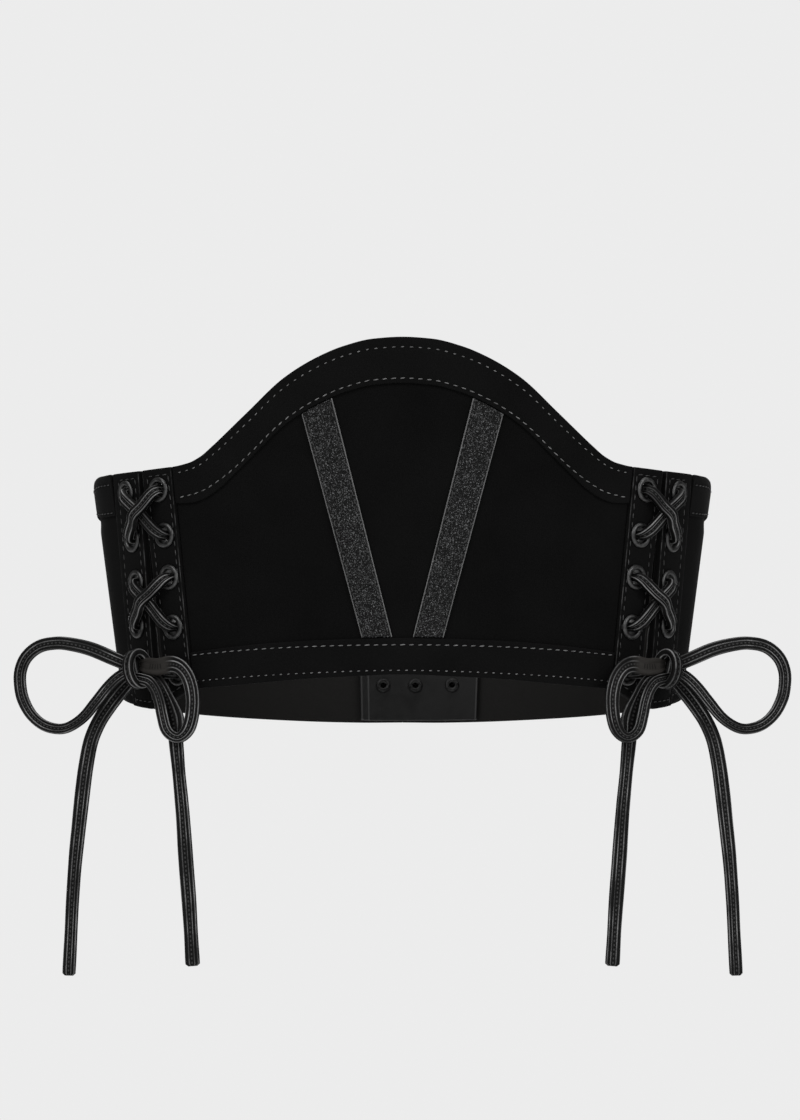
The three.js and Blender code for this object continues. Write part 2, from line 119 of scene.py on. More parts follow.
class Slot(Enum):
    """Finishes that a piece can be repainted by."""

    SUEDE = "suede"
    GRAINED = "grained_leather"
    SMOOTH = "smooth_leather"
    LACE = "lace_leather"
    METAL = "dark_metal"
    THREAD = "thread"


@dataclass(frozen=True)
class WornForm:
    """The ellipse that the belt follows when it is worn, wider with height.

    Attributes:
        hem_half_width: half width at the hem.
        depth_ratio: half depth as a share of the half width.
        widening: growth of the half width for each unit of height.
    """

    hem_half_width: float = 0.12485
    depth_ratio: float = 0.69
    widening: float = 0.143

    def half_width(self, height: float) -> float:
        """Half width at a height."""
        return self.hem_half_width + self.widening * height

    def outward(self, angle: float, height: float) -> Vector:
        """Direction straight out of the form.

        Args:
            angle: degrees from the middle of the front.
            height: height above the middle of the hem.

        Returns:
            A unit vector.
        """
        turn = math.radians(angle)
        wide = self.half_width(height)
        deep = self.depth_ratio * wide
        return Vector((deep * math.sin(turn), -wide * math.cos(turn), -self.widening * deep)).normalized()

    def point(self, angle: float, height: float, out: float) -> Vector:
        """Point of the belt.

        Args:
            angle: degrees from the middle of the front.
            height: height above the middle of the hem.
            out: distance out from the form.

        Returns:
            The point in the belt's frame.
        """
        turn = math.radians(angle)
        wide = self.half_width(height)
        on_form = Vector((wide * math.sin(turn), -self.depth_ratio * wide * math.cos(turn), height))
        return on_form + self.outward(angle, height) * out

    def angle_across(self, across: float, height: float) -> float:
        """Angle whose point lies a given distance from the middle plane."""
        return math.degrees(math.asin(across / self.half_width(height)))

    def outward_near(self, point: Vector) -> Vector:
        """Direction straight out of the form near a point of the belt."""
        angle = math.degrees(math.atan2(point.x * self.depth_ratio, -point.y))
        return self.outward(angle, point.z)


@dataclass(frozen=True)
class EdgeLine:
    """Height of an edge at each angle, on a smooth curve through a few rows.

    Attributes:
        rows: pairs of angle and height.
    """

    rows: tuple[tuple[float, float], ...]

    def slope(self, row: int) -> float:
        """Slope of the straight line from a row to the next."""
        (a, low), (b, high) = self.rows[row : row + 2]
        return (high - low) / (b - a)

    def at(self, angle: float) -> float:
        """Height of the edge.

        Args:
            angle: degrees from the middle of the front, either way round.

        Returns:
            The height at that angle.
        """
        turned = min(abs(angle), 360 - abs(angle))
        last = len(self.rows) - 2
        row = next((i for i in range(last + 1) if turned <= self.rows[i + 1][0]), last)
        (start, low), (end, high) = self.rows[row : row + 2]
        here = self.slope(row)
        before = self.slope(row - 1) if row > 0 else -here
        after = self.slope(row + 1) if row < last else here
        share, span, rise = (turned - start) / (end - start), end - start, high - low
        leave, arrive = eased_slope(before, here) * span, eased_slope(here, after) * span
        bend = 3 * rise - 2 * leave - arrive
        return low + share * (leave + share * (bend + share * (leave + arrive - 2 * rise)))


@dataclass(frozen=True)
class Seam:
    """A seam or free edge that leans: its angle at the top edge and at hem level."""

    top: float
    hem: float

    def at(self, height: float) -> float:
        """Angle of the seam at a height."""
        return mix(self.hem, self.top, height / SEAM_TOP)

    def shifted(self, by: float) -> "Seam":
        """The same seam, moved round the belt."""
        return Seam(self.top + by, self.hem + by)

    def turned(self, sign: int) -> "Seam":
        """The same seam, on the right for a sign of 1 and on the left for -1."""
        return Seam(self.top * sign, self.hem * sign)


@dataclass(frozen=True)
class Layer:
    """A layer through the wall, as distances out from the worn form."""

    inner: float
    outer: float


FORM = WornForm()
SEAM_TOP = 0.093
TOP_EDGE = EdgeLine((
    (0, 0.1453), (5, 0.14455), (10, 0.1417), (15, 0.1369), (21, 0.1288), (28, 0.1156), (33, 0.10675),
    (36, 0.1019), (39.5, 0.09715), (42.5, 0.09505), (46.5, 0.09425), (54, 0.0944), (64, 0.0953),
    (72, 0.0964), (80, 0.0975), (90, 0.0979), (180, 0.0979),
))
HEM_EDGE = EdgeLine((
    (0, 0), (12, -0.0008), (20, -0.0013), (28, -0.0021), (37, -0.0028), (46, -0.003), (50, -0.0044),
    (54, -0.007), (58, -0.009), (62, -0.0094), (66, -0.0084), (70, -0.0071), (75, -0.0051), (80, -0.0023),
    (85, -0.0007), (90, 0), (110, -0.0002), (132, -0.0005), (150, -0.0007), (165, -0.00095), (180, -0.001),
))
BAND_TOP = EdgeLine(((0, 0.0156), (18, 0.0151), (29, 0.0145), (41, 0.0134), (46.5, 0.0129)))
FACING_HEIGHT = EdgeLine(((0, 0.02), (34, 0.02), (40, 0.0182), (46.5, 0.016)))
BACK_FACING_HEIGHT = EdgeLine(((68, 0.0184), (78, 0.0182), (90, 0.0158), (104, 0.0162), (180, 0.0168)))

PANEL = Layer(-0.0023, -0.0004)
TRIM = Layer(-0.0001, 0.0009)
PLACKET = Layer(-0.0023, 0.0011)
TAB = Layer(-0.004, -0.0026)

FRONT_SEAM = Seam(46.8, 47.1)
FRONT_EDGE = Seam(55.6, 56.1)
BACK_EDGE = Seam(56.6, 60.0)
BACK_SEAM = Seam(67.2, 72.6)
SEAM_GAP = 0.24
TRIM_GAP = 0.4
CENTRE_BACK = 180.04

# Eyelets of the two columns beside each lacing, as angle and height, from the top down
FRONT_EYELETS = ((50.8, 0.08495), (50.45, 0.0649), (50.4, 0.0465), (50.8, 0.0247), (50.9, 0.0046))
BACK_EYELETS = ((62.0, 0.086), (61.8, 0.0653), (62.25, 0.0465), (64.2, 0.02775), (64.9, 0.0075))


def facing_low(angle: float) -> float:
    """Height of the top facing's lower edge."""
    return TOP_EDGE.at(angle) - FACING_HEIGHT.at(angle)


def between(start: Seam, end: Seam, low: Edge, high: Edge) -> Place:
    """Strip between two leaning seams and two edges.

    Args:
        start: the seam at u = 0.
        end: the seam at u = 1.
        low: height of the lower edge at an angle.
        high: height of the upper edge at an angle.

    Returns:
        A function from u and v, 0 to 1 each, to an angle and a height.
    """

    def place(u: float, v: float) -> tuple[float, float]:
        """A place on the strip.

        Args:
            u: share of the way from the first seam to the second.
            v: share of the way up.

        Returns:
            The angle and height.
        """
        hem_angle = mix(start.at(0), end.at(0), u)
        top_angle = mix(start.at(SEAM_TOP), end.at(SEAM_TOP), u)
        return mix(hem_angle, top_angle, v), mix(low(hem_angle), high(top_angle), v)

    return place


def upright(angle: float) -> Seam:
    """A seam that doesn't lean."""
    return Seam(angle, angle)


class Recipe:
    """The nodes of one material, added one by one round its shader."""

    def __init__(self, name: str) -> None:
        """Starts an empty material.

        Args:
            name: the material's name.
        """
        self.material = bpy.data.materials.new(name)
        self.material.use_nodes = True
        self.tree = self.material.node_tree
        self.shader = self.tree.nodes["Principled BSDF"]

    def set(self, socket: str, value: object) -> None:
        """Gives a socket of the shader a value, or links it to another node's output."""
        self.feed(self.shader, socket, value)

    def feed(self, node: bpy.types.Node, socket: str | int, value: object) -> None:
        """Gives a node's socket a value, or links it where the value is an output.

        Args:
            node: the node.
            socket: the input socket's name or number.
            value: a value or another node's output.
        """
        target = node.inputs[socket]
        if isinstance(value, bpy.types.NodeSocket):
            self.tree.links.new(value, target)
        else:
            target.default_value = value

    def node(self, kind: str, feeds: dict[str | int, object], **settings: object) -> bpy.types.Node:
        """Adds a node.

        Args:
            kind: the node's type.
            feeds: a value or an output for each input socket.
            **settings: the node's own settings.

        Returns:
            The new node.
        """
        made = self.tree.nodes.new(kind)
        for setting, value in settings.items():
            setattr(made, setting, value)
        for socket, value in feeds.items():
            self.feed(made, socket, value)
        return made

    def place(self) -> bpy.types.NodeSocket:
        """The belt's own coordinates, in metres."""
        return self.node("ShaderNodeTexCoord", {}).outputs["Object"]

    def surface(self) -> bpy.types.NodeSocket:
        """The piece's own coordinates across and along its surface."""
        return self.node("ShaderNodeUVMap", {}, uv_map="UVMap").outputs[0]

    def across(self) -> bpy.types.NodeSocket:
        """The way across the piece's surface, from 0 to 1."""
        return self.node("ShaderNodeSeparateXYZ", {"Vector": self.surface()}).outputs["X"]

    def lines(self, value: object, places: Sequence[float], half_width: float, core: float = 0.4) -> object:
        """1 on lines where a value is at one of some places, and 0 between them.

        Args:
            value: the output that is compared with the places.
            places: the value in the middle of each line.
            half_width: how far from there a line ends.
            core: share of that distance over which it is full.

        Returns:
            The output socket.
        """
        shown: object = 0.0
        for place in places:
            line = self.spread(self.away(value, place), half_width * core, half_width, 1.0, 0.0)
            shown = self.maths("MAXIMUM", shown, line)
        return shown

    def dashes(self, along: object, pitch: float, gap: float, full: float, top: float = 1.0) -> object:
        """A value that rises on dashes and is 0 between them.

        Args:
            along: distance along the dashes.
            pitch: distance from one to the next.
            gap: where a gap ends, as a share of the pitch from its middle.
            full: where the dash is full, as such a share.
            top: the value there.

        Returns:
            The output socket.
        """
        return self.spread(self.maths("PINGPONG", along, pitch / 2), pitch * gap, pitch * full, 0.0, top)

    def blend(self, share: object, colour: object, tone: float, warmth: float = 0.0) -> object:
        """A colour with a grey laid over it where the share is 1."""
        feeds = {0: share, 6: colour, 7: (*grey(tone, warmth), 1.0)}
        return self.node("ShaderNodeMix", feeds, data_type="RGBA").outputs[2]

    def noise(self, scale: float, detail: float = 2.0, vector: object = None, **feeds: object) -> object:
        """A noise's value.

        Args:
            scale: features in a metre.
            detail: octaves of finer noise.
            vector: coordinates, or None for the belt's own.
            **feeds: more input values.

        Returns:
            The output socket.
        """
        feeds |= {"Vector": self.place() if vector is None else vector, "Scale": scale, "Detail": detail}
        return self.node("ShaderNodeTexNoise", feeds).outputs[0]

    def maths(self, operation: str, a: object, b: object = 0.0) -> bpy.types.NodeSocket:
        """The result of one sum on two values or outputs."""
        return self.node("ShaderNodeMath", {0: a, 1: b}, operation=operation).outputs[0]

    def product(self, a: object, b: object) -> bpy.types.NodeSocket:
        """Two values or outputs multiplied."""
        return self.maths("MULTIPLY", a, b)

    def weighed(self, a: object, share: float, b: object) -> bpy.types.NodeSocket:
        """A mean of two outputs, with the first's share of it."""
        return self.maths("ADD", self.product(a, share), self.product(b, 1 - share))

    def away(self, value: object, place: float) -> bpy.types.NodeSocket:
        """How far a value is from a place."""
        return self.maths("ABSOLUTE", self.maths("SUBTRACT", value, place))

    def vector(self, operation: str, feeds: dict[str | int, object]) -> bpy.types.NodeSocket:
        """The result of one sum on vectors."""
        return self.node("ShaderNodeVectorMath", feeds, operation=operation).outputs[0]

    def spread(self, value: object, low: float, high: float, to_low: float, to_high: float) -> object:
        """A value taken from one range to another, and held inside it."""
        feeds = {"Value": value, "From Min": low, "From Max": high, "To Min": to_low, "To Max": to_high}
        return self.node("ShaderNodeMapRange", feeds).outputs[0]

    def tones(self, value: object, stops: Sequence[tuple[float, Sequence[float]]]) -> object:
        """A colour picked by a value.

        Args:
            value: the output that picks.
            stops: positions from 0 to 1, each with a colour.

        Returns:
            The colour's socket.
        """
        ramp = self.node("ShaderNodeValToRGB", {"Fac": value})
        while len(ramp.color_ramp.elements) < len(stops):
            ramp.color_ramp.elements.new(0.5)
        for element, (position, colour) in zip(ramp.color_ramp.elements, stops):
            element.position = position
            element.color = (*colour, 1.0)
        return ramp.outputs["Color"]

    def bump(self, height: object, strength: float, distance: float, below: object = None) -> object:
        """A normal tilted by a height.

        Args:
            height: the output that gives the height.
            strength: share of the effect.
            distance: depth of the relief.
            below: another bump's normal to add to.

        Returns:
            The normal's socket.
        """
        feeds = {"Height": height, "Strength": strength, "Distance": distance}
        if below is not None:
            feeds["Normal"] = below
        return self.node("ShaderNodeBump", feeds).outputs[0]


def grey(value: float, warmth: float = 0.0) -> tuple[float, float, float]:
    """A grey, a little warmer or cooler."""
    return (value * (1 + warmth), value, value * (1 - warmth))


@dataclass(frozen=True)
class Finish:
    """A finish of one material: tones, gloss and the size of its grain.

    Attributes:
        name: the material's name.
        slot: the finish it can be repainted by; not used.
        deep: the darkest tone.
        light: the lightest tone.
        roughness: mean roughness.
        gloss: strength of the mirror reflection.
        grain: features of the grain in a metre.
        relief: depth of the grain.
        warmth: how warm its tones are, or how cool below 0.
    """

    name: str
    slot: Slot
    deep: float
    light: float
    roughness: float
    gloss: float
    grain: float
    relief: float
    warmth: float = 0.0

    def material(self) -> bpy.types.Material:
        """Makes the finish's material, or finds it where it is already made.

        Returns:
            The material.
        """
        found = bpy.data.materials.get(self.name)
        if found:
            return found
        recipe = Recipe(self.name)
        recipe.set("Specular IOR Level", self.gloss)
        self.dress(recipe)
        return recipe.material

    def shades(self, recipe: Recipe, value: object, low: float = 0.3, high: float = 0.7) -> object:
        """The finish's colour, deep at a low value and light at a high one."""
        deep, light = grey(self.deep, self.warmth), grey(self.light, self.warmth)
        return recipe.tones(value, ((low, deep), (high, light)))

    def dress(self, recipe: Recipe) -> None:
        """Adds the nodes of the finish.

        Args:
            recipe: the material's nodes.
        """
        raise NotImplementedError


@dataclass(frozen=True)
class Suede(Finish):
    """Napped leather: very dark, with fibres and patches where the nap lies another way.

    Attributes:
        sheen: strength of the nap's sheen.
        worn: places of painted highlight lines along the edges, as shares of the piece's width.
        worn_width: half width of such a line.
        worn_tone: tone of such a painted highlight.
    """

    sheen: float = 0.008
    worn: tuple[float, ...] = ()
    worn_width: float = 0.013
    worn_tone: float = 0.05

    FIBRES = 0.6
    PATCH_SIZE = 60
    WEAR_SIZE = 12

    def dress(self, recipe: Recipe) -> None:
        """Adds the nap's tones, its patches, its fibres and the painted highlight lines along the edges.

        Args:
            recipe: the material's nodes.
        """
        fibres = recipe.noise(self.grain, 3.0)
        patches = recipe.noise(self.grain / self.PATCH_SIZE)
        colour = self.shades(recipe, recipe.weighed(fibres, self.FIBRES, patches))
        # Painted highlights: lighter lines along the piece's edges, made patchy by a slow noise.
        if self.worn:
            rubbed = recipe.spread(recipe.noise(self.grain / self.WEAR_SIZE), 0.4, 0.62, 0.1, 1.0)
            lines = recipe.lines(recipe.across(), self.worn, self.worn_width)
            colour = recipe.blend(recipe.product(lines, rubbed), colour, self.worn_tone)
        recipe.set("Base Color", colour)
        recipe.set("Roughness", self.roughness)
        recipe.set("Sheen Weight", self.sheen)
        recipe.set("Sheen Roughness", 0.6)
        recipe.set("Normal", recipe.bump(fibres, 0.5, self.relief))


@dataclass(frozen=True)
class Grained(Finish):
    """Leather with curly pebbled grain, shinier on top, painted light on its pebbles and dark in its
    creases, and a painted highlight line along both edges.

    Attributes:
        curl: share of the curly ridges in the grain.
        edge: tone of the painted highlight line along the edges.
        edge_share: width of that line as a share of the strip's.
    """

    curl: float = 0.55
    edge: float = 0.13
    edge_share: float = 0.026

    WANDER = 0.9
    DOMES = 0.75
    MIDDLE_TONE = 0.08

    def pebbles(self, recipe: Recipe) -> object:
        """Adds rounded pebbles that a slow noise puts out of line.

        Args:
            recipe: the material's nodes.

        Returns:
            The output socket, 1 on top of a pebble and 0 beside it.
        """
        feeds = {"Vector": recipe.place(), "Scale": self.grain / 3, "Detail": 1.0}
        slow = recipe.node("ShaderNodeTexNoise", feeds).outputs["Color"]
        push = recipe.vector("SUBTRACT", {0: slow, 1: (0.5, 0.5, 0.5)})
        wander = recipe.vector("SCALE", {0: push, "Scale": self.WANDER / self.grain})
        moved = recipe.vector("ADD", {0: recipe.place(), 1: wander})
        feeds = {"Vector": moved, "Scale": self.grain, "Randomness": 0.95}
        cells = recipe.node("ShaderNodeTexVoronoi", feeds, feature="F1").outputs["Distance"]
        return recipe.spread(cells, 0.1, 0.75, 1.0, 0.0)

    def dress(self, recipe: Recipe) -> None:
        """Adds the pebbles, the curls over them, the finer pores, painted highlights on the tops, painted
        shade in the creases, and the painted highlight line along the edges.

        Args:
            recipe: the material's nodes.
        """
        folds = recipe.noise(self.grain * 0.8, Distortion=0.7)
        curls = recipe.spread(recipe.away(folds, 0.5), 0.0, 0.09, 1.0, 0.0)
        domes = recipe.weighed(self.pebbles(recipe), 1 - self.curl, curls)
        pores = recipe.noise(self.grain * 3)
        # Painted highlight and shade: the ramp colours the pebbles' tops light and the creases between them
        # dark, over the grain's own tone.
        middle = mix(self.deep, self.light, self.MIDDLE_TONE)
        stops = ((0.4, grey(self.deep)), (0.56, grey(middle)), (0.8, grey(self.light, self.warmth)))
        colour = recipe.tones(recipe.weighed(domes, self.DOMES, pores), stops)
        # Painted highlight: a lighter line along each edge, standing for light caught on the rounded edges.
        edges = (self.edge_share / 2, 1 - self.edge_share / 2)
        lines = recipe.lines(recipe.across(), edges, self.edge_share)
        recipe.set("Base Color", recipe.blend(lines, colour, self.edge))
        recipe.set("Roughness", recipe.spread(domes, 0, 1, self.roughness + 0.15, self.roughness - 0.08))
        fine = recipe.bump(pores, 0.3, self.relief * 0.3)
        recipe.set("Normal", recipe.bump(domes, 1.0, self.relief, fine))


@dataclass(frozen=True)
class Smooth(Finish):
    """Smooth leather with fine pores and long shallow wrinkles.

    Attributes:
        worn: places of painted highlight lines, as shares of the piece's width.
        worn_width: half width of such a line.
        worn_tone: tone of such a painted highlight.
    """

    worn: tuple[float, ...] = ()
    worn_width: float = 0.009
    worn_tone: float = 0.03

    WRINKLE_SIZE = 12

    def dress(self, recipe: Recipe) -> None:
        """Adds pores, wrinkles and the painted highlight lines.

        Args:
            recipe: the material's nodes.
        """
        pores = recipe.noise(self.grain, 4.0)
        wrinkles = recipe.noise(self.grain / self.WRINKLE_SIZE, 3.0, Distortion=1.2)
        colour = self.shades(recipe, recipe.weighed(pores, 0.5, wrinkles))
        # Painted highlights: lighter lines across the piece, on the tab at its ends and its fold.
        if self.worn:
            lines = recipe.lines(recipe.across(), self.worn, self.worn_width)
            colour = recipe.blend(lines, colour, self.worn_tone)
        recipe.set("Base Color", colour)
        shiny, dull = self.roughness - 0.08, self.roughness + 0.1
        recipe.set("Roughness", recipe.spread(wrinkles, 0.3, 0.7, shiny, dull))
        fine = recipe.bump(pores, 0.4, self.relief)
        recipe.set("Normal", recipe.bump(wrinkles, 0.35, self.relief * 4, fine))


@dataclass(frozen=True)
class LaceLeather(Finish):
    """Leather of the folded lace: painted highlight lines along its ridges and a stitched channel on each
    face.

    Attributes:
        thread: tone of the thread in the channel.
        pitch: distance from stitch to stitch.
        rubbed: tone of the painted highlights on the ridges.
        ridges: places of the ridges, as shares of the way round from the middle of a face.
        ridge_width: half width of a painted highlight line, as such a share.
        turned: length over which the lace shows its plain inner face.
        inner: tone and warmth of that face.
        tacks: where the row of cross stitches on that face starts and ends.
        tack_pitch: distance from one of them to the next.
    """

    thread: float = 0.032
    pitch: float = 0.0019
    rubbed: float = 0.22
    ridges: tuple[float, ...] = (0.082, 0.19)
    ridge_width: float = 0.023
    turned: float = 0.0
    inner: tuple[float, float] = (0.02, 0.08)
    tacks: tuple[float, float] = (0.0085, 0.0165)
    tack_pitch: float = 0.0015

    FACE_SHARE = 0.25
    STREAK_SCALE = (14.0, 60.0, 1.0)
    RUB_SCALE = 90
    SOFT_END = 0.0004

    def cross_stitches(self, recipe: Recipe, along: object, folded: object) -> object:
        """Adds the short stitches across the turned lace.

        Args:
            recipe: the material's nodes.
            along: distance along the lace.
            folded: the way round from the middle of the nearer face.

        Returns:
            The output socket, which is 0 between the stitches.
        """
        start, end = self.tacks
        after = recipe.spread(along, start, start + self.SOFT_END, 0.0, 1.0)
        before = recipe.spread(along, end, end + self.SOFT_END, 1.0, 0.0)
        near_middle = recipe.spread(folded, 0.05, 0.07, 1.0, 0.0)
        row = recipe.product(recipe.product(after, before), near_middle)
        return recipe.product(row, recipe.dashes(along, self.tack_pitch, 0.26, 0.36, 0.75))

    def dress(self, recipe: Recipe) -> None:
        """Adds streaks along the lace, pores, the painted highlights on the ridges and the stitched
        channel.

        Args:
            recipe: the material's nodes.
        """
        surface = recipe.surface()
        parts = recipe.node("ShaderNodeSeparateXYZ", {"Vector": surface})
        along, folded = parts.outputs["Y"], recipe.maths("PINGPONG", parts.outputs["X"], self.FACE_SHARE)
        stretched = recipe.node("ShaderNodeMapping", {"Vector": surface, "Scale": self.STREAK_SCALE})
        streaks = recipe.noise(1.0, 3.0, stretched.outputs[0])
        pores = recipe.noise(self.grain, 3.0)
        tone = recipe.weighed(pores, 0.4, streaks)
        leather = self.shades(recipe, tone, high=0.72)
        # Painted highlights: lighter lines along the ridges, patchy along the lace and brighter where its
        # tone is lighter.
        ridge = recipe.lines(folded, self.ridges, self.ridge_width, core=0.35)
        patches = recipe.spread(recipe.noise(self.RUB_SCALE), 0.36, 0.62, 0.25, 1.0)
        worn = recipe.product(ridge, recipe.product(recipe.spread(tone, 0.35, 0.65, 0.3, 1.1), patches))
        channel = recipe.spread(folded, 0.012, 0.024, 1.0, 0.0)
        stitched = recipe.product(channel, recipe.dashes(along, self.pitch, 0.22, 0.3))
        if self.turned:
            outer_face = recipe.spread(along, self.turned, self.turned * 1.25, 0.0, 1.0)
            worn = recipe.product(worn, outer_face)
            stitched = recipe.product(stitched, outer_face)
            leather = recipe.blend(recipe.maths("SUBTRACT", 1.0, outer_face), leather, *self.inner)
            leather = recipe.blend(self.cross_stitches(recipe, along, folded), leather, self.deep)
        colour = recipe.blend(worn, leather, self.rubbed)
        recipe.set("Base Color", recipe.blend(stitched, colour, self.thread))
        recipe.set("Roughness", recipe.spread(ridge, 0, 1, self.roughness + 0.16, self.roughness - 0.04))
        fine = recipe.bump(pores, 0.35, self.relief)
        recipe.set("Normal", recipe.bump(streaks, 0.25, self.relief * 2, fine))


@dataclass(frozen=True)
class Metal(Finish):
    """Dark plated metal, a little uneven, rubbed brighter in places."""

    def dress(self, recipe: Recipe) -> None:
        """Adds rubbed patches and a fine unevenness.

        Args:
            recipe: the material's nodes.
        """
        rubbed = recipe.noise(self.grain, 3.0)
        recipe.set("Base Color", self.shades(recipe, rubbed, low=0.35))
        recipe.set("Metallic", 1.0)
        shiny, dull = self.roughness - 0.06, self.roughness + 0.1
        recipe.set("Roughness", recipe.spread(rubbed, 0.3, 0.7, shiny, dull))
        recipe.set("Normal", recipe.bump(rubbed, 0.15, self.relief))


@dataclass(frozen=True)
class Thread(Finish):
    """Waxed sewing thread."""

    def dress(self, recipe: Recipe) -> None:
        """Adds the strands' tones and relief.

        Args:
            recipe: the material's nodes.
        """
        strands = recipe.noise(self.grain)
        recipe.set("Base Color", self.shades(recipe, strands))
        recipe.set("Roughness", self.roughness)
        recipe.set("Normal", recipe.bump(strands, 0.5, self.relief))


SUEDE = Suede("body_suede", Slot.SUEDE, 0.0022, 0.0044, 0.95, 0.02, 2200, 0.0002)
TRIM_SUEDE = Suede("trim_suede", Slot.SUEDE, 0.0023, 0.0048, 0.92, 0.03, 2200, 0.0002)
# The placket's worn lines are painted highlights along its two edges.
PLACKET_SUEDE = Suede(
    "placket_suede", Slot.SUEDE, 0.0023, 0.0048, 0.92, 0.03, 2200, 0.0002, worn=(0.02, 0.98)
)
LINING = Smooth("lining", Slot.SUEDE, 0.006, 0.0095, 0.7, 0.1, 1500, 0.00005, 0.05)
STRAP_LEATHER = Grained("pebbled_strap", Slot.GRAINED, 0.0004, 0.17, 0.45, 0.13, 1500, 0.00025, -0.02)
# The tab's worn lines are painted highlights along its two ends and its fold.
TAB_LEATHER = Smooth(
    "tab_leather", Slot.SMOOTH, 0.0052, 0.0085, 0.5, 0.16, 1500, 0.00005, worn=(0.012, 0.93, 0.988)
)
LACE_LEATHER = LaceLeather("folded_lace", Slot.LACE, 0.001, 0.0035, 0.4, 0.09, 1800, 0.00006)
TURNED_LACE = LaceLeather("turned_lace", Slot.LACE, 0.001, 0.0035, 0.4, 0.09, 1800, 0.00006, turned=0.0185)
DARK_METAL = Metal("gunmetal", Slot.METAL, 0.045, 0.09, 0.4, 0.5, 500, 0.00002)
PAINTED_METAL = Metal("blackened_metal", Slot.METAL, 0.014, 0.034, 0.45, 0.4, 700, 0.00002)
PALE_THREAD = Thread("pale_thread", Slot.THREAD, 0.06, 0.16, 0.6, 0.3, 450, 0.00008)
DARK_THREAD = Thread("dark_thread", Slot.THREAD, 0.012, 0.05, 0.6, 0.3, 900, 0.00008)


def meshed(bm: bmesh.types.BMesh, name: str) -> bpy.types.Mesh:
    """Makes a mesh of a built shape.

    Args:
        bm: the shape, which is freed.
        name: the mesh's name.

    Returns:
        The mesh.
    """
    mesh = bpy.data.meshes.new(name)
    bm.to_mesh(mesh)
    bm.free()
    return mesh


def placed(name: str, data: bpy.types.ID) -> bpy.types.Object:
    """Puts a mesh, camera or light in the scene.

    Args:
        name: the object's name.
        data: what it is made of.

    Returns:
        The new object.
    """
    made = bpy.data.objects.new(name, data)
    bpy.context.scene.collection.objects.link(made)
    return made


def finished(
    bm: bmesh.types.BMesh, name: str, finishes: Sequence[Finish], replaces: Sequence[str] = ()
) -> bpy.types.Object:
    """Turns a built shape into a piece of the belt.

    Args:
        bm: the shape, which is freed.
        name: the piece's name.
        finishes: its materials, the first of them used by every face not given another.
        replaces: the nodes that it stands for.

    Returns:
        The new object, riding on the belt's body.
    """
    mesh = meshed(bm, name)
    mesh.shade_smooth()
    for finish in finishes:
        mesh.materials.append(finish.material())
    piece = placed(name, mesh)
    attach(piece, BODY)
    if replaces:
        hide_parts(*replaces)
    LOG.info("%s: %d faces", name, len(mesh.polygons))
    return piece


@dataclass(frozen=True)
class StitchRow:
    """A row of stitches along the belt.

    Attributes:
        path: angle and height at a share of the row.
        out: distance out from the worn form.
        pitch: distance from stitch to stitch.
        length: length of the thread that shows.
        width: width of the thread.
    """

    path: Path
    out: float
    pitch: float = 0.004
    length: float = 0.0026
    width: float = 0.0005

    SAMPLES = 240

    def line(self) -> list[tuple[Vector, Vector]]:
        """Points close together along the row, each with its direction out."""
        steps = [self.path(i / self.SAMPLES) for i in range(self.SAMPLES + 1)]
        return [(FORM.point(*place, self.out), FORM.outward(*place)) for place in steps]

    def marks(self) -> list[Matrix]:
        """Spaces the stitches evenly.

        Returns:
            The place of each stitch, its own x along the row and its z straight out.
        """
        line = self.line()
        distances = travelled([point for point, _ in line])
        count = max(1, round(distances[-1] / self.pitch))
        middles = ((i + 0.5) / count * distances[-1] for i in range(count))
        found = []
        for step, share in located(distances, middles):
            (a, out), (b, _) = line[step], line[step + 1]
            along = (b - a).normalized()
            across = out.cross(along).normalized()
            turn = Matrix((along, across, along.cross(across))).transposed().to_4x4()
            found.append(Matrix.Translation(a.lerp(b, share)) @ turn)
        return found

    def holes(self) -> list[Vector]:
        """Where the thread goes in: the two ends of each stitch."""
        ends = (Vector((-self.length / 2, 0, 0)), Vector((self.length / 2, 0, 0)))
        return [mark @ end for mark in self.marks() for end in ends]


@dataclass
class Stitching:
    """All the rows of one thread on one part of the belt, as one piece.

    Attributes:
        name: the piece's name.
        rows: the rows of stitches.
        finish: the thread.
    """

    name: str
    rows: Sequence[StitchRow]
    finish: Finish = PALE_THREAD

    SLANT = 5.0
    SLANT_RANGE = (0.4, 1.6)
    LENGTH_RANGE = (0.88, 1.06)
    THICKNESS = 0.8
    PROUD = Matrix.Translation((0, 0, 0.00002))
    LYING = Matrix.Rotation(math.radians(90), 4, "Y")

    def build(self) -> None:
        """Makes each stitch as a small rounded thread and joins them."""
        chance = random.Random(self.name)
        bm = bmesh.new()
        for row in self.rows:
            for mark in row.marks():
                turn = self.SLANT * chance.uniform(*self.SLANT_RANGE)
                length = row.length * chance.uniform(*self.LENGTH_RANGE)
                slant = Matrix.Rotation(math.radians(turn), 4, "Z")
                size = Matrix.Diagonal((length / 2, row.width / 2, row.width / 2 * self.THICKNESS, 1))
                place = mark @ self.PROUD @ slant @ size @ self.LYING
                bmesh.ops.create_uvsphere(bm, u_segments=6, v_segments=5, radius=1, matrix=place)
        finished(bm, self.name, [self.finish])


@dataclass(frozen=True)
class Hole:
    """A round hole straight through the wall, at an angle and a height."""

    angle: float
    height: float
    radius: float


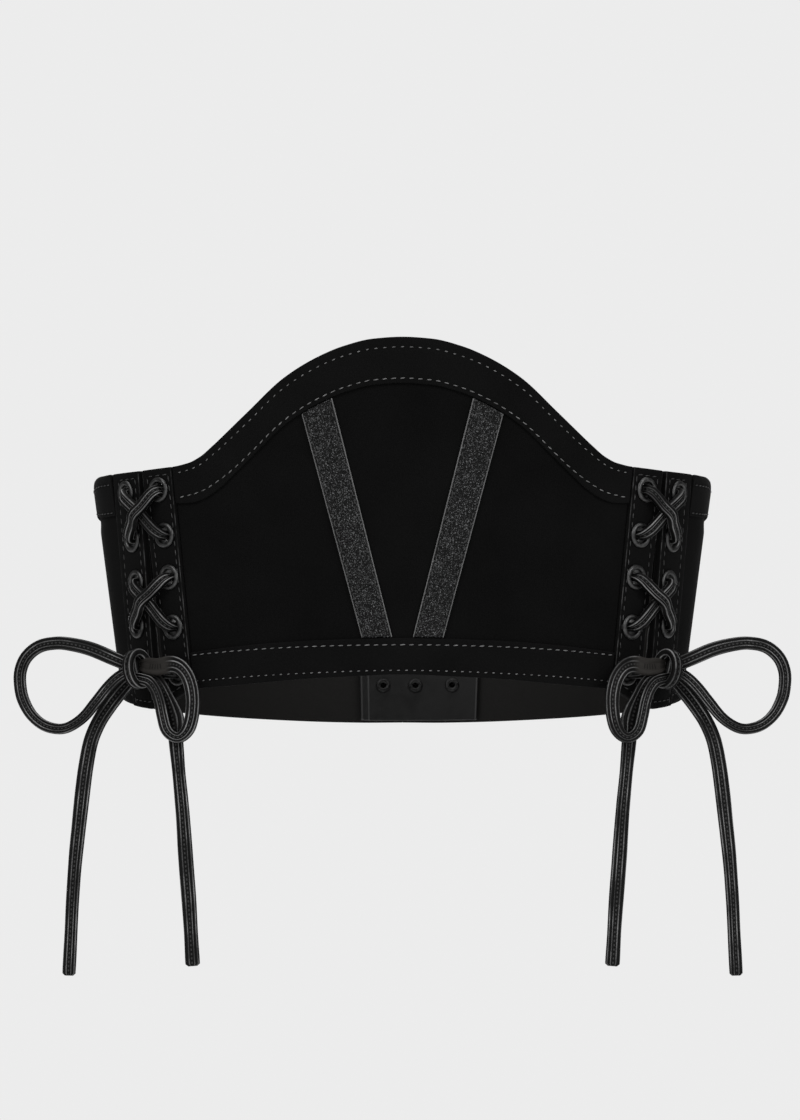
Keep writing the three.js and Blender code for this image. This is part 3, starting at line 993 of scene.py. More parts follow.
@dataclass
class Wall:
    """A wall of leather that follows the worn form.

    Attributes:
        node: the node that it stands for.
        layer: where it lies through the belt's thickness.
        place: angle and height at u and v.
        columns: faces round the belt.
        rows: faces up the wall.
        finishes: the outside's finish, and the inside's if it has its own.
        stitches: rows that draw the leather in.
        holes: round holes.
        rounding: radius of its edges.
        swell: more distance out at a place, as a function of u and v.
        thread: the thread of its stitches.
    """

    node: str
    layer: Layer
    place: Place
    columns: int
    rows: int
    finishes: Sequence[Finish]
    stitches: Sequence[StitchRow] = ()
    holes: Sequence[Hole] = ()
    rounding: float = 0.0004
    swell: Callable[[float, float], float] | None = None
    thread: Finish = DARK_THREAD

    # Reach and depth of the groove along a row, and of the dent where its thread goes in
    GROOVE = (0.0013, 0.00012)
    PULL = (0.0013, 0.00022)
    RIM = math.radians(50)
    BEVEL_STEPS = 3
    HOLE_REACH = 1.4

    def build(self) -> None:
        """Makes the wall, and its stitches as a piece of their own."""
        bm = self.sheet()
        outside = bm.verts[:]
        self.thicken(bm)
        sharp = [edge for edge in bm.edges if edge.calc_face_angle(0.0) > self.RIM]
        rims = [edge for edge in sharp if not self.at_hole(edge)]
        self.draw_in(outside)
        bmesh.ops.bevel(
            bm, geom=rims, offset=self.rounding, segments=self.BEVEL_STEPS, profile=0.5, affect="EDGES",
            material=-1, clamp_overlap=True,
        )
        bm.normal_update()
        if len(self.finishes) > 1:
            for face in bm.faces:
                if face.normal.dot(FORM.outward_near(face.calc_center_median())) < -0.5:
                    face.material_index = 1
        finished(bm, f"fine_{self.node}", self.finishes, [self.node])
        if self.stitches:
            Stitching(f"stitches_{self.node}", self.stitches, self.thread).build()

    def sheet(self) -> bmesh.types.BMesh:
        """Shapes the outer face and cuts its holes.

        Returns:
            The sheet, which has no thickness yet.
        """
        bm = bmesh.new()
        bm.loops.layers.uv.new("UVMap")
        bmesh.ops.create_grid(bm, x_segments=self.columns, y_segments=self.rows, size=0.5, calc_uvs=True)
        for vert in bm.verts:
            u, v = vert.co.x + 0.5, vert.co.y + 0.5
            swell = self.swell(u, v) if self.swell else 0.0
            vert.co = FORM.point(*self.place(u, v), self.layer.outer + swell)
        for hole in self.holes:
            self.cut(bm, hole)
        self.face_out(bm)
        return bm

    def thicken(self, bm: bmesh.types.BMesh) -> None:
        """Gives the sheet its thickness, inwards.

        Args:
            bm: the sheet.
        """
        for part in bmesh.ops.extrude_face_region(bm, geom=bm.faces[:], use_keep_orig=True)["geom"]:
            if isinstance(part, bmesh.types.BMVert):
                part.co -= FORM.outward_near(part.co) * (self.layer.outer - self.layer.inner)
        bmesh.ops.recalc_face_normals(bm, faces=bm.faces[:])
        bm.normal_update()

    def cut(self, bm: bmesh.types.BMesh, hole: Hole) -> None:
        """Cuts one round hole through the sheet.

        Args:
            bm: the sheet.
            hole: where the hole goes.
        """
        centre = FORM.point(hole.angle, hole.height, self.layer.outer)
        inside = [face for face in bm.faces if (face.calc_center_median() - centre).length < hole.radius]
        bmesh.ops.delete(bm, geom=inside, context="FACES")
        for vert in bm.verts:
            arm = vert.co - centre
            if vert.is_boundary and arm.length < hole.radius * self.HOLE_REACH:
                vert.co = centre + arm.normalized() * hole.radius

    def at_hole(self, edge: bmesh.types.BMEdge) -> bool:
        """Tells the rims of the holes from the wall's own edges.

        Args:
            edge: an edge of the wall.

        Returns:
            Whether the edge belongs to the rim of a hole.
        """
        middle = (edge.verts[0].co + edge.verts[1].co) / 2
        reach = self.layer.outer - self.layer.inner
        return any(
            (middle - FORM.point(hole.angle, hole.height, self.layer.outer)).length < hole.radius + reach
            for hole in self.holes
        )

    def face_out(self, bm: bmesh.types.BMesh) -> None:
        """Turns the sheet's faces outwards.

        Args:
            bm: the sheet.
        """
        bmesh.ops.recalc_face_normals(bm, faces=bm.faces[:])
        bm.normal_update()
        facing = sum(face.normal.dot(FORM.outward_near(face.calc_center_median())) for face in bm.faces)
        if facing < 0:
            bmesh.ops.reverse_faces(bm, faces=bm.faces[:])
        bm.normal_update()

    def draw_in(self, outside: Sequence[bmesh.types.BMVert]) -> None:
        """Sinks the leather along its rows of stitches, and more where the thread goes in.

        Args:
            outside: the corners of the outer face.
        """
        if not self.stitches:
            return
        lines = nearest_finder(point for row in self.stitches for point, _ in row.line())
        holes = nearest_finder(hole for row in self.stitches for hole in row.holes())
        for vert in outside:
            depth = sum(
                deep * fade(finder.find(vert.co)[2], reach)
                for finder, (reach, deep) in ((lines, self.GROOVE), (holes, self.PULL))
            )
            if depth:
                vert.co -= FORM.outward_near(vert.co) * depth


def nearest_finder(points: Iterable[Vector]) -> kdtree.KDTree:
    """Makes a finder of the nearest of some points.

    Args:
        points: the points.

    Returns:
        The finder.
    """
    listed = list(points)
    tree = kdtree.KDTree(len(listed))
    for i, point in enumerate(listed):
        tree.insert(point, i)
    tree.balance()
    return tree


def along_edge(low: float, high: float, edge: Edge) -> Path:
    """Path round the belt from one angle to another, at an edge's height."""
    return lambda share: (mix(low, high, share), edge(mix(low, high, share)))


def along_seam(seam: Seam, low: float, high: float) -> Path:
    """Path up the belt along a seam, from one height to another."""
    return lambda share: (seam.at(mix(low, high, share)), mix(low, high, share))


@dataclass
class FrontBody:
    """The domed front: panel, facing along the top, band along the hem, and their stitches.

    Attributes:
        facing_rows: depth of the facing's rows below the edge, in the middle and at the seam.
        facing_threads: length of the thread that shows in each of them.
        facing_pitch: distance from stitch to stitch in them.
        band_rows: height of the band's rows.
        band_threads: length of the thread that shows in each of them.
        band_pitches: distance from stitch to stitch in each of them.
        last_angle: where the facing's rows end.
        band_beyond: how much further the band's rows go, in degrees.
        ripple: depth of the panel's slow unevenness.
    """

    facing_rows: tuple[tuple[float, float], ...] = ((0.0044, 0.0031), (0.0179, 0.0138))
    facing_threads: tuple[float, ...] = (0.0015, 0.0023)
    facing_pitch: float = 0.00385
    band_rows: tuple[EdgeLine, ...] = (
        EdgeLine(((0, 0.0127), (20, 0.0125), (46.5, 0.0117))),
        EdgeLine(((0, 0.00175), (20, 0.0011), (46.5, 0.0003))),
    )
    band_threads: tuple[float, ...] = (0.0023, 0.0013)
    band_pitches: tuple[float, ...] = (0.00385, 0.00345)
    last_angle: float = 45.6
    band_beyond: float = 0.8
    ripple: float = 0.00022

    NARROWING = (30, 44)
    RIPPLE_SPAN = (0.14, 0.8)
    RIPPLES = (7, 5)

    # How quickly the unevenness grows from the ends, the foot and the top
    EASES = (12, 10, 8)

    def facing_line(self, depth: tuple[float, float]) -> Edge:
        """Height of a row below the top edge.

        Args:
            depth: distance below the edge at the middle and at the seam.

        Returns:
            A function from angle to height.
        """
        start, end = self.NARROWING
        return lambda angle: TOP_EDGE.at(angle) - mix(*depth, smooth((abs(angle) - start) / (end - start)))

    def swell(self, u: float, v: float) -> float:
        """Slow unevenness of the panel, none near its edges.

        Args:
            u: share of the way from one end to the other.
            v: share of the way up.

        Returns:
            Distance out.
        """
        low, high = self.RIPPLE_SPAN
        ends, foot, top = self.EASES
        inner = smooth(min(u, 1 - u) * ends) * smooth((v - low) * foot) * smooth((high - v) * top)
        return self.ripple * inner * noise.noise(Vector((u * self.RIPPLES[0], v * self.RIPPLES[1], 0.3)))

    def facing(self, end: float) -> None:
        """Makes the facing along the top edge.

        Args:
            end: angle of its ends.
        """
        reach, pitch = self.last_angle, self.facing_pitch
        rows = [
            StitchRow(along_edge(-reach, reach, self.facing_line(depth)), TRIM.outer, pitch, thread)
            for depth, thread in zip(self.facing_rows, self.facing_threads)
        ]
        place = between(upright(-end), upright(end), facing_low, TOP_EDGE.at)
        Wall("top_facing", TRIM, place, 320, 22, [TRIM_SUEDE], rows, thread=PALE_THREAD).build()

    def band(self, end: float) -> None:
        """Makes the band along the hem.

        Args:
            end: angle of its ends.
        """
        reach = self.last_angle + self.band_beyond
        rows = [
            StitchRow(along_edge(-reach, reach, line.at), TRIM.outer, pitch, thread)
            for line, pitch, thread in zip(self.band_rows, self.band_pitches, self.band_threads)
        ]
        place = between(upright(-end), upright(end), HEM_EDGE.at, BAND_TOP.at)
        Wall("bottom_band", TRIM, place, 210, 18, [TRIM_SUEDE], rows, thread=PALE_THREAD).build()

    def build(self) -> None:
        """Makes the panel, then the facing and the band on it."""
        end = FRONT_SEAM.shifted(-SEAM_GAP)
        place = between(end.turned(-1), end, HEM_EDGE.at, TOP_EDGE.at)
        Wall("front_panel", PANEL, place, 150, 104, [SUEDE, LINING], swell=self.swell).build()
        self.facing(end.top)
        self.band(FRONT_SEAM.hem - TRIM_GAP)


@dataclass
class Strap:
    """One of the two leather straps down the front.

    Attributes:
        side: which strap.
        top: distance of its inner and outer edge from the middle at the top.
        bottom: the same at the band.
        top_height: height of each edge's upper end, near enough to find the facing there.
        end_gap: room between its ends and the facing and band.
        inset: distance of the stitches from the edges.
        row_ends: where the rows of stitches start and end, as shares of the way up.
        pitch: distance from stitch to stitch.
        thread: length of the thread that shows.
    """

    side: Side
    top: tuple[float, float] = (0.0304, 0.0436)
    bottom: tuple[float, float] = (0.0044, 0.0176)
    top_height: tuple[float, float] = (0.1196, 0.1124)
    end_gap: float = 0.0004
    inset: float = 0.0014
    row_ends: tuple[float, float] = (0.015, 0.985)
    pitch: float = 0.0036
    thread: float = 0.0022

    def place(self, u: float, v: float) -> tuple[float, float]:
        """A place on the strap.

        Args:
            u: share of the way from the inner edge to the outer.
            v: share of the way from the band up to the facing.

        Returns:
            The angle and height.
        """
        low_across = mix(*self.bottom, u)
        high_across = mix(*self.top, u)
        low = BAND_TOP.at(FORM.angle_across(low_across, BAND_TOP.at(0))) + self.end_gap
        high = facing_low(FORM.angle_across(high_across, mix(*self.top_height, u))) - self.end_gap
        height = mix(low, high, v)
        return self.side.value * FORM.angle_across(mix(low_across, high_across, v), height), height

    def row(self, u: float) -> StitchRow:
        """Sets out a row of stitches up the strap.

        Args:
            u: share of the way from the inner edge to the outer.

        Returns:
            The row.
        """
        return StitchRow(
            lambda share: self.place(u, mix(*self.row_ends, share)), TRIM.outer, self.pitch, self.thread
        )

    def build(self) -> None:
        """Makes the strap with its two rows of stitches."""
        share = self.inset / (self.bottom[1] - self.bottom[0])
        rows = [self.row(share), self.row(1 - share)]
        Wall(f"strap_{self.side.label}", TRIM, self.place, 16, 110, [STRAP_LEATHER], rows).build()


def arc(turn: float, steps: int) -> list[tuple[float, float]]:
    """Points on a round of radius 1, from across to a turn, as distance across and up."""
    return [(math.cos(turn * i / steps), math.sin(turn * i / steps)) for i in range(steps + 1)]


@dataclass
class Ring:
    """A pressed metal ring or stud, turned from its outline.

    Attributes:
        node: the node that it stands for.
        angle: its place round the belt.
        height: its height.
        outline: corners as radius and distance out, in order round the metal.
        closed: whether the outline closes on itself; otherwise it starts and ends on the axis.
        finish: the metal's finish.
    """

    node: str
    angle: float
    height: float
    outline: Sequence[tuple[float, float]]
    closed: bool = True
    finish: Finish = DARK_METAL

    STEPS = 32

    def build(self) -> None:
        """Spins the outline and seats it on the belt."""
        bm = bmesh.new()
        corners = [bm.verts.new((radius, 0, out)) for radius, out in self.outline]
        pairs = list(zip(corners, corners[1:]))
        if self.closed:
            pairs.append((corners[-1], corners[0]))
        edges = [bm.edges.new(pair) for pair in pairs]
        bmesh.ops.spin(
            bm, geom=corners + edges, axis=(0, 0, 1), cent=(0, 0, 0), steps=self.STEPS, angle=math.tau,
            use_merge=True,
        )
        bmesh.ops.remove_doubles(bm, verts=bm.verts[:], dist=1e-6)
        bmesh.ops.recalc_face_normals(bm, faces=bm.faces[:])
        turn = FORM.outward(self.angle, self.height).to_track_quat("Z", "Y").to_matrix().to_4x4()
        seat = Matrix.Translation(FORM.point(self.angle, self.height, 0)) @ turn
        bmesh.ops.transform(bm, matrix=seat, verts=bm.verts[:])
        finished(bm, f"fine_{self.node}", [self.finish], [self.node])


@dataclass(frozen=True)
class EyeletShape:
    """Sizes of a lacing eyelet: a domed flange outside, a barrel and a curled washer inside.

    Attributes:
        bore: radius of its hole.
        barrel: outer radius of the barrel.
        flange: outer radius of the flange.
        dome: how far the flange stands out of the leather.
        seat: room between the flange and the leather.
        washer: outer radius of the washer.
        washer_seat: depth of the washer's rim.
        washer_back: depth of its inner face.
        hole: radius of the hole in the leather.
    """

    bore: float = 0.0033
    barrel: float = 0.004
    flange: float = 0.0056
    dome: float = 0.0013
    seat: float = 0.0003
    washer: float = 0.005
    washer_seat: float = 0.004
    washer_back: float = 0.0046
    hole: float = 0.0046

    DOME_STEPS = 10
    BORE_CURL = (0.0003, 0.0001)
    RIM_CURL = (0.0002, 0.0001)

    def outline(self, face: float) -> list[tuple[float, float]]:
        """The metal's outline.

        Args:
            face: distance out of the leather's face.

        Returns:
            Corners as radius and distance out.
        """
        middle, half = (self.bore + self.flange) / 2, (self.flange - self.bore) / 2
        dome = [
            (middle + half * across, face + self.seat + (self.dome - self.seat) * rise)
            for across, rise in arc(math.pi, self.DOME_STEPS)
        ]
        rim, back = face - self.washer_seat, face - self.washer_back
        rolled = (self.washer_back - self.washer_seat) / 2
        curl = [
            (self.bore, rim),
            (self.bore + self.BORE_CURL[0], back + self.BORE_CURL[1]),
            ((self.bore + self.washer) / 2, back),
            (self.washer - self.RIM_CURL[0], back + rolled * 0.4),
            (self.washer, rim - rolled * 0.6),
            (self.washer - self.RIM_CURL[1], rim),
        ]
        return [*dome, *curl, (self.barrel, rim), (self.barrel, face + self.seat)]


EYELET = EyeletShape()


@dataclass
class Lacing:
    """The two plackets of one side with their eyelets and stitches.

    Attributes:
        side: which side.
        front_insets: how far in from the front placket's seam and edge its rows run, in degrees.
        back_insets: the same from the back placket's edge and seam.
        top_inset: distance of the upper row below the top edge.
        hem_inset: distance of the lower row above the hem.
    """

    side: Side
    front_insets: tuple[float, float] = (0.95, 1.65)
    back_insets: tuple[float, float] = (1.45, 2.6)
    top_inset: float = 0.0031
    hem_inset: float = 0.0032

    def holes(self, eyelets: Sequence[tuple[float, float]]) -> list[Hole]:
        """The holes of one column of eyelets."""
        return [Hole(angle * self.side.value, height, EYELET.hole) for angle, height in eyelets]

    def placket(
        self, node: str, start: Seam, end: Seam, holes: Sequence[Hole], insets: tuple[float, float]
    ) -> None:
        """Makes one placket and its stitches.

        Args:
            node: which placket.
            start: its seam or edge nearer the front.
            end: its seam or edge nearer the back.
            holes: where its eyelets stand.
            insets: how far in from each of them the rows of stitches run, in degrees.
        """
        sign = self.side.value
        place = between(start.turned(sign), end.turned(sign), HEM_EDGE.at, TOP_EDGE.at)
        seams = start.shifted(insets[0]), end.shifted(-insets[1])
        middle = mix(start.top, end.top, 0.5)
        low = HEM_EDGE.at(middle) + self.hem_inset
        high = TOP_EDGE.at(middle) - self.top_inset
        rows = [StitchRow(along_seam(seam.turned(sign), low, high), PLACKET.outer) for seam in seams]
        for line, inset in ((HEM_EDGE, self.hem_inset), (TOP_EDGE, -self.top_inset)):
            angles = [sign * seam.at(line.at(middle)) for seam in seams]
            path = along_edge(*angles, lambda angle, line=line, inset=inset: line.at(angle) + inset)
            rows.append(StitchRow(path, PLACKET.outer))
        Wall(node, PLACKET, place, 20, 110, [PLACKET_SUEDE, LINING], rows, holes, rounding=0.0007).build()

    def build(self) -> None:
        """Makes both plackets and their ten eyelets."""
        label = self.side.label
        front, back = self.holes(FRONT_EYELETS), self.holes(BACK_EYELETS)
        self.placket(f"front_placket_{label}", FRONT_SEAM, FRONT_EDGE, front, self.front_insets)
        self.placket(f"back_placket_{label}", BACK_EDGE, BACK_SEAM, back, self.back_insets)
        outline = EYELET.outline(PLACKET.outer)
        for name, holes in (("front", front), ("back", back)):
            for row, hole in enumerate(holes, start=1):
                Ring(f"eyelet_{name}_{label}_{row}", hole.angle, hole.height, outline).build()


# Where the stud goes through the left back panel and the tab
STUD = Hole(184.5, 0.052, 0.0021)


@dataclass
class BackBody:
    """One side and back panel with the facing along its top edge.

    Attributes:
        side: which side.
        row_inset: distance of the facing's upper row below the top edge.
        foot_inset: distance of its lower row above its foot.
        hem_inset: distance of the panel's row above the hem.
        fullness: how far the panel swells out at the hem and at the facing's foot.
        roll: how far the top edge is rolled in.
        row_starts: how far from the seam the panel's and the facing's rows start, in degrees.
        row_end: how far from the centre they end, in degrees.
    """

    side: Side
    row_inset: float = 0.0045
    foot_inset: float = 0.0014
    hem_inset: float = 0.004
    fullness: tuple[float, float] = (0.00105, 0.0006)
    roll: float = 0.0014
    row_starts: tuple[float, float] = (1, 0.8)
    row_end: float = 1

    FACING_FOOT = 0.815
    FOOT_REACH = 0.06
    ROLL_START = {"panel": 0.93, "facing": 0.62}

    # How quickly the fullness grows from the seam and the centre, and the facing's roll from the seam
    PANEL_EASES = (8, 12)
    FACING_EASE = 14

    @staticmethod
    def foot(angle: float) -> float:
        """Height of the facing's lower edge."""
        return TOP_EDGE.at(angle) - BACK_FACING_HEIGHT.at(angle)

    def rolled(self, part: str, v: float) -> float:
        """How far the top edge is rolled in.

        Args:
            part: the panel or the facing.
            v: share of the way up it.

        Returns:
            Distance out, which is 0 or less.
        """
        start = self.ROLL_START[part]
        share = max(0.0, (v - start) / (1 - start))
        return self.roll * (math.sqrt(max(0.0, 1 - share * share)) - 1)

    def panel_swell(self, u: float, v: float) -> float:
        """Fullness of the panel below its facing, most at the hem, and its roll at the top.

        Args:
            u: share of the way from the seam to the centre of the back.
            v: share of the way up.

        Returns:
            Distance out.
        """
        seam, centre = self.PANEL_EASES
        below = smooth((self.FACING_FOOT - v) / self.FOOT_REACH)
        inner = smooth(u * seam) * smooth((1 - u) * centre) * below
        return mix(*self.fullness, v / self.FACING_FOOT) * inner + self.rolled("panel", v)

    def facing_swell(self, u: float, v: float) -> float:
        """The facing's roll over the top edge, none at the seam."""
        return self.rolled("facing", v) * smooth(u * self.FACING_EASE)

    def row(self, start: float, height: Edge, layer: Layer) -> StitchRow:
        """A row of stitches from an angle near the seam to near the centre of the back."""
        end = self.side.value * (CENTRE_BACK - self.row_end)
        return StitchRow(along_edge(start, end, height), layer.outer)

    def panel(self, end: Seam) -> None:
        """Makes the panel with the row of stitches along its hem.

        Args:
            end: its edge at the centre of the back.
        """
        sign = self.side.value
        place = between(BACK_SEAM.shifted(SEAM_GAP).turned(sign), end, HEM_EDGE.at, TOP_EDGE.at)
        first = sign * (BACK_SEAM.hem + self.row_starts[0])
        rows = [self.row(first, lambda angle: HEM_EDGE.at(angle) + self.hem_inset, PANEL)]
        holes = [Hole(STUD.angle - 360, STUD.height, STUD.radius)] if self.side is Side.LEFT else []
        node = f"back_panel_{self.side.label}"
        Wall(node, PANEL, place, 150, 90, [SUEDE, LINING], rows, holes, swell=self.panel_swell).build()

    def facing(self, end: Seam) -> None:
        """Makes the facing with its two rows of stitches.

        Args:
            end: its edge at the centre of the back.
        """
        sign = self.side.value
        start = upright((BACK_SEAM.at(self.foot(BACK_SEAM.top)) + TRIM_GAP) * sign)
        place = between(start, end, self.foot, TOP_EDGE.at)
        first = start.top + sign * self.row_starts[1]
        rows = [
            self.row(first, lambda angle: TOP_EDGE.at(angle) - self.row_inset, TRIM),
            self.row(first, lambda angle: self.foot(angle) + self.foot_inset, TRIM),
        ]
        node = f"back_facing_{self.side.label}"
        Wall(node, TRIM, place, 230, 26, [TRIM_SUEDE], rows, swell=self.facing_swell).build()

    def build(self) -> None:
        """Makes the panel, then the facing on it."""
        end = upright(CENTRE_BACK * self.side.value)
        self.panel(end)
        self.facing(end)


@dataclass
class BackTab:
    """The leather tab inside the centre of the back, its three rings and the stud above them.

    Attributes:
        angles: where it starts and ends.
        heights: heights of its foot and its top.
        fold: where its folded end starts, as a share of its width.
        fold_rise: how much further in the folded end lies.
        gap: room between the metal and the leather.
        ring_angles: where the rings stand.
        ring_height: their height.
        ring_hole: radius of the holes that they line.
        ring_bore: radius of a ring's own hole.
        ring_flange: its outer radius.
        ring_barrel: outer radius of the part inside the hole.
        ring_rise: how far it stands out of the tab.
        stud_post: radius of the stud's post.
        stud_head: radius of its two heads.
        stud_thick: thickness of a head.
    """

    angles: tuple[float, float] = (163.6, 189.1)
    heights: tuple[float, float] = (-0.0006, 0.0925)
    fold: float = 0.93
    fold_rise: float = 0.0004
    gap: float = 0.0003
    ring_angles: tuple[float, ...] = (169.3, 177.2, 184.1)
    ring_height: float = 0.0158
    ring_hole: float = 0.0023
    ring_bore: float = 0.00115
    ring_flange: float = 0.0033
    ring_barrel: float = 0.0019
    ring_rise: float = 0.0008
    stud_post: float = 0.0017
    stud_head: float = 0.0042
    stud_thick: float = 0.0011

    FOLD_REACH = 0.008
    RING_STEPS = 8
    HEAD_STEPS = 6

    def swell(self, u: float, v: float) -> float:
        """The folded end lies further in than the rest of the tab."""
        return -self.fold_rise * smooth((u - self.fold + self.FOLD_REACH) / (2 * self.FOLD_REACH))

    def ring_outline(self) -> list[tuple[float, float]]:
        """Outline of a small ring round a hole of the tab.

        Returns:
            Corners as radius and distance out.
        """
        seat = TAB.inner - self.gap
        middle, half = mix(self.ring_bore, self.ring_flange, 0.5), (self.ring_flange - self.ring_bore) / 2
        dome = [
            (middle - half * across, seat - self.ring_rise * rise)
            for across, rise in arc(math.pi, self.RING_STEPS)
        ]
        foot = [(self.ring_barrel, seat), (self.ring_barrel, TAB.outer), (self.ring_bore, TAB.outer)]
        return [*dome, *foot]

    def stud_outline(self) -> list[tuple[float, float]]:
        """Outline of the stud, from the axis inside to the axis outside.

        Returns:
            Corners as radius and distance out.
        """
        inside, outside = TAB.inner - self.gap, PANEL.outer + self.gap
        quarter = arc(math.pi / 2, self.HEAD_STEPS)
        cap = [(self.stud_head * across, self.stud_thick * rise) for rise, across in quarter]
        inner = [(radius, inside - rise) for radius, rise in cap]
        outer = [(radius, outside + rise) for radius, rise in reversed(cap)]
        return [*inner, (self.stud_post, inside), (self.stud_post, outside), *outer]

    def build(self) -> None:
        """Makes the tab, its rings and the stud."""
        low, high = self.heights
        place = between(*map(upright, self.angles), lambda angle: low, lambda angle: high)
        holes = [*(Hole(angle, self.ring_height, self.ring_hole) for angle in self.ring_angles), STUD]
        Wall(
            "back_tab", TAB, place, 120, 96, [TAB_LEATHER], holes=holes, rounding=0.0005, swell=self.swell
        ).build()
        outline = self.ring_outline()
        for number, angle in enumerate(self.ring_angles, start=1):
            Ring(f"tab_eyelet_{number}", angle, self.ring_height, outline, finish=PAINTED_METAL).build()
        Ring("back_stud", STUD.angle, STUD.height, self.stud_outline(), closed=False).build()


@dataclass(frozen=True)
class LaceShape:
    """Section of the folded lace: two rolled edges and a stitched channel on each face.

    Attributes:
        quarter: corners from the middle of a face to the edge, as distance across and height.
        step: distance from section to section.
        bead: how far the stitches stand out of the channel.
        width: full width; not used.
    """

    quarter: tuple[tuple[float, float], ...] = (
        (0.0, 0.00092), (0.0005, 0.00124), (0.0009, 0.00092), (0.0013, 0.00126), (0.0018, 0.0016),
        (0.0023, 0.00142), (0.0026, 0.00085), (0.0027, 0.0),
    )
    step: float = 0.00095
    bead: float = 0.00016
    width: float = 0.0054

    def section(self) -> list[tuple[float, float]]:
        """The whole outline, once round from the middle of one face."""
        half = [*self.quarter, *((x, -y) for x, y in reversed(self.quarter[:-1]))]
        return half + [(-x, y) for x, y in reversed(half[1:-1])]


LACE = LaceShape()


def directions(points: Sequence[Vector], closed: bool = False) -> list[Vector]:
    """Direction of travel at each point of a line.

    Args:
        points: the line's points.
        closed: whether it closes on itself, its first point standing again at its end.

    Returns:
        A unit vector for each point.
    """
    last = len(points) - 1
    if closed:
        return [(points[(i + 1) % last] - points[(i - 1) % last]).normalized() for i in range(last + 1)]
    return [(points[min(i + 1, last)] - points[max(i - 1, 0)]).normalized() for i in range(last + 1)]


def centred_route(points: Sequence[Vector], step: float) -> list[tuple[Vector, float]]:
    """Evenly spaced places on a smooth curve through some points.

    Args:
        points: the points that the curve goes through.
        step: distance between places, near enough.

    Returns:
        Each place with the number of the point it lies at or after, as a fraction.
    """
    fine = 12
    tangents = directions(points)
    dense: list[tuple[Vector, float]] = []
    for i, (a, b) in enumerate(zip(points, points[1:])):
        reach = (b - a).length / 3
        curve = interpolate_bezier(a, a + tangents[i] * reach, b - tangents[i + 1] * reach, b, fine + 1)
        dense += [(point, i + k / fine) for k, point in enumerate(curve[:-1])]
    dense.append((points[-1], float(len(points) - 1)))
    distances = travelled([point for point, _ in dense])
    count = max(2, round(distances[-1] / step))
    spaced = []
    for at, share in located(distances, (distances[-1] * i / count for i in range(count + 1))):
        (a, low), (b, high) = dense[at], dense[at + 1]
        spaced.append((a.lerp(b, share), mix(low, high, share)))
    return spaced


def facings(points: Sequence[Vector], wanted: dict[int, Vector]) -> list[Vector]:
    """Direction that the lace's broad side faces at each point.

    The lace turns as little as it can, and meets each wanted direction or its opposite.

    Args:
        points: the line that the lace follows.
        wanted: direction at some of the points, by their number.

    Returns:
        A unit vector square to the line for each point.
    """
    tangents = directions(points)

    def flat(vector: Vector, tangent: Vector) -> Vector:
        """The vector's part square to the tangent."""
        return (vector - tangent * vector.dot(tangent)).normalized()

    carried = [flat(next(iter(wanted.values())), tangents[0])]
    for before, after in zip(tangents, tangents[1:]):
        turned = carried[-1].copy()
        turned.rotate(before.rotation_difference(after))
        carried.append(flat(turned, after))
    turns: list[tuple[int, float]] = []
    for i, vector in sorted(wanted.items()):
        aim = flat(vector, tangents[i])
        turn = math.atan2(carried[i].cross(aim).dot(tangents[i]), carried[i].dot(aim))
        before = turns[-1][1] if turns else 0.0
        turns.append((i, turn - math.pi * round((turn - before) / math.pi)))
    found, at = [], 0
    for i, (vector, tangent) in enumerate(zip(carried, tangents)):
        while at < len(turns) - 2 and turns[at + 1][0] < i:
            at += 1
        (low, first), (high, second) = turns[at], turns[min(at + 1, len(turns) - 1)]
        share = smooth((i - low) / (high - low)) if high > low else 0.0
        found.append(Quaternion(tangent, mix(first, second, share)) @ vector)
    return found


@dataclass
class LaceRun:
    """A stretch of lace swept along a line.

    Attributes:
        line: where its sections stand.
        faces: direction that its broad side faces at each of them.
        sizes: width and thickness of each section, as shares of the full size.
        closed: whether the run closes on itself.
    """

    line: Sequence[Vector]
    faces: Sequence[Vector]
    sizes: Sequence[tuple[float, float]]
    closed: bool = False

    @property
    def length(self) -> float:
        """Length of the run."""
        return travelled(self.line)[-1]

    def add_to(self, bm: bmesh.types.BMesh) -> None:
        """Rolls a grid into the lace's tube and closes its ends.

        Args:
            bm: the shape that the run is added to.
        """
        section = LACE.section()
        around, steps = len(section), len(self.line) - 1
        tangents = directions(self.line, self.closed)
        uv = bm.loops.layers.uv.get("UVMap") or bm.loops.layers.uv.new("UVMap")
        made = bmesh.ops.create_grid(bm, x_segments=around, y_segments=steps, size=0.5, calc_uvs=True)
        grid = made["verts"]
        length = self.length
        for face in {face for vert in grid for face in vert.link_faces}:
            for loop in face.loops:
                loop[uv].uv.y *= length
        for vert in grid:
            ring = round((vert.co.y + 0.5) * steps)
            corner = round((vert.co.x + 0.5) * around) % around
            across, height = section[corner]
            if corner in (0, around // 2):
                height += math.copysign(LACE.bead if ring % 2 else -LACE.bead, height)
            wide, thick = self.sizes[ring]
            side = tangents[ring].cross(self.faces[ring])
            vert.co = self.line[ring] + side * across * wide + self.faces[ring] * height * thick
        bmesh.ops.remove_doubles(bm, verts=grid, dist=1e-7)
        open_edges = [edge for edge in bm.edges if edge.is_boundary]
        if open_edges:
            bmesh.ops.holes_fill(bm, edges=open_edges, sides=0)
        bmesh.ops.recalc_face_normals(bm, faces=bm.faces[:])

    def build(self, name: str, node: str, finish: Finish = LACE_LEATHER) -> bpy.types.Object:
        """Makes the run a piece of its own.

        Args:
            name: the piece's name.
            node: the node that it stands for.
            finish: its leather.

        Returns:
            The new piece.
        """
        bm = bmesh.new()
        self.add_to(bm)
        return finished(bm, name, [finish], [node])


@dataclass(frozen=True)
class Station:
    """A section of the threaded lace: its place, its size and whether it lies flat on the belt."""

    angle: float
    height: float
    out: float
    size: float
    flat: bool


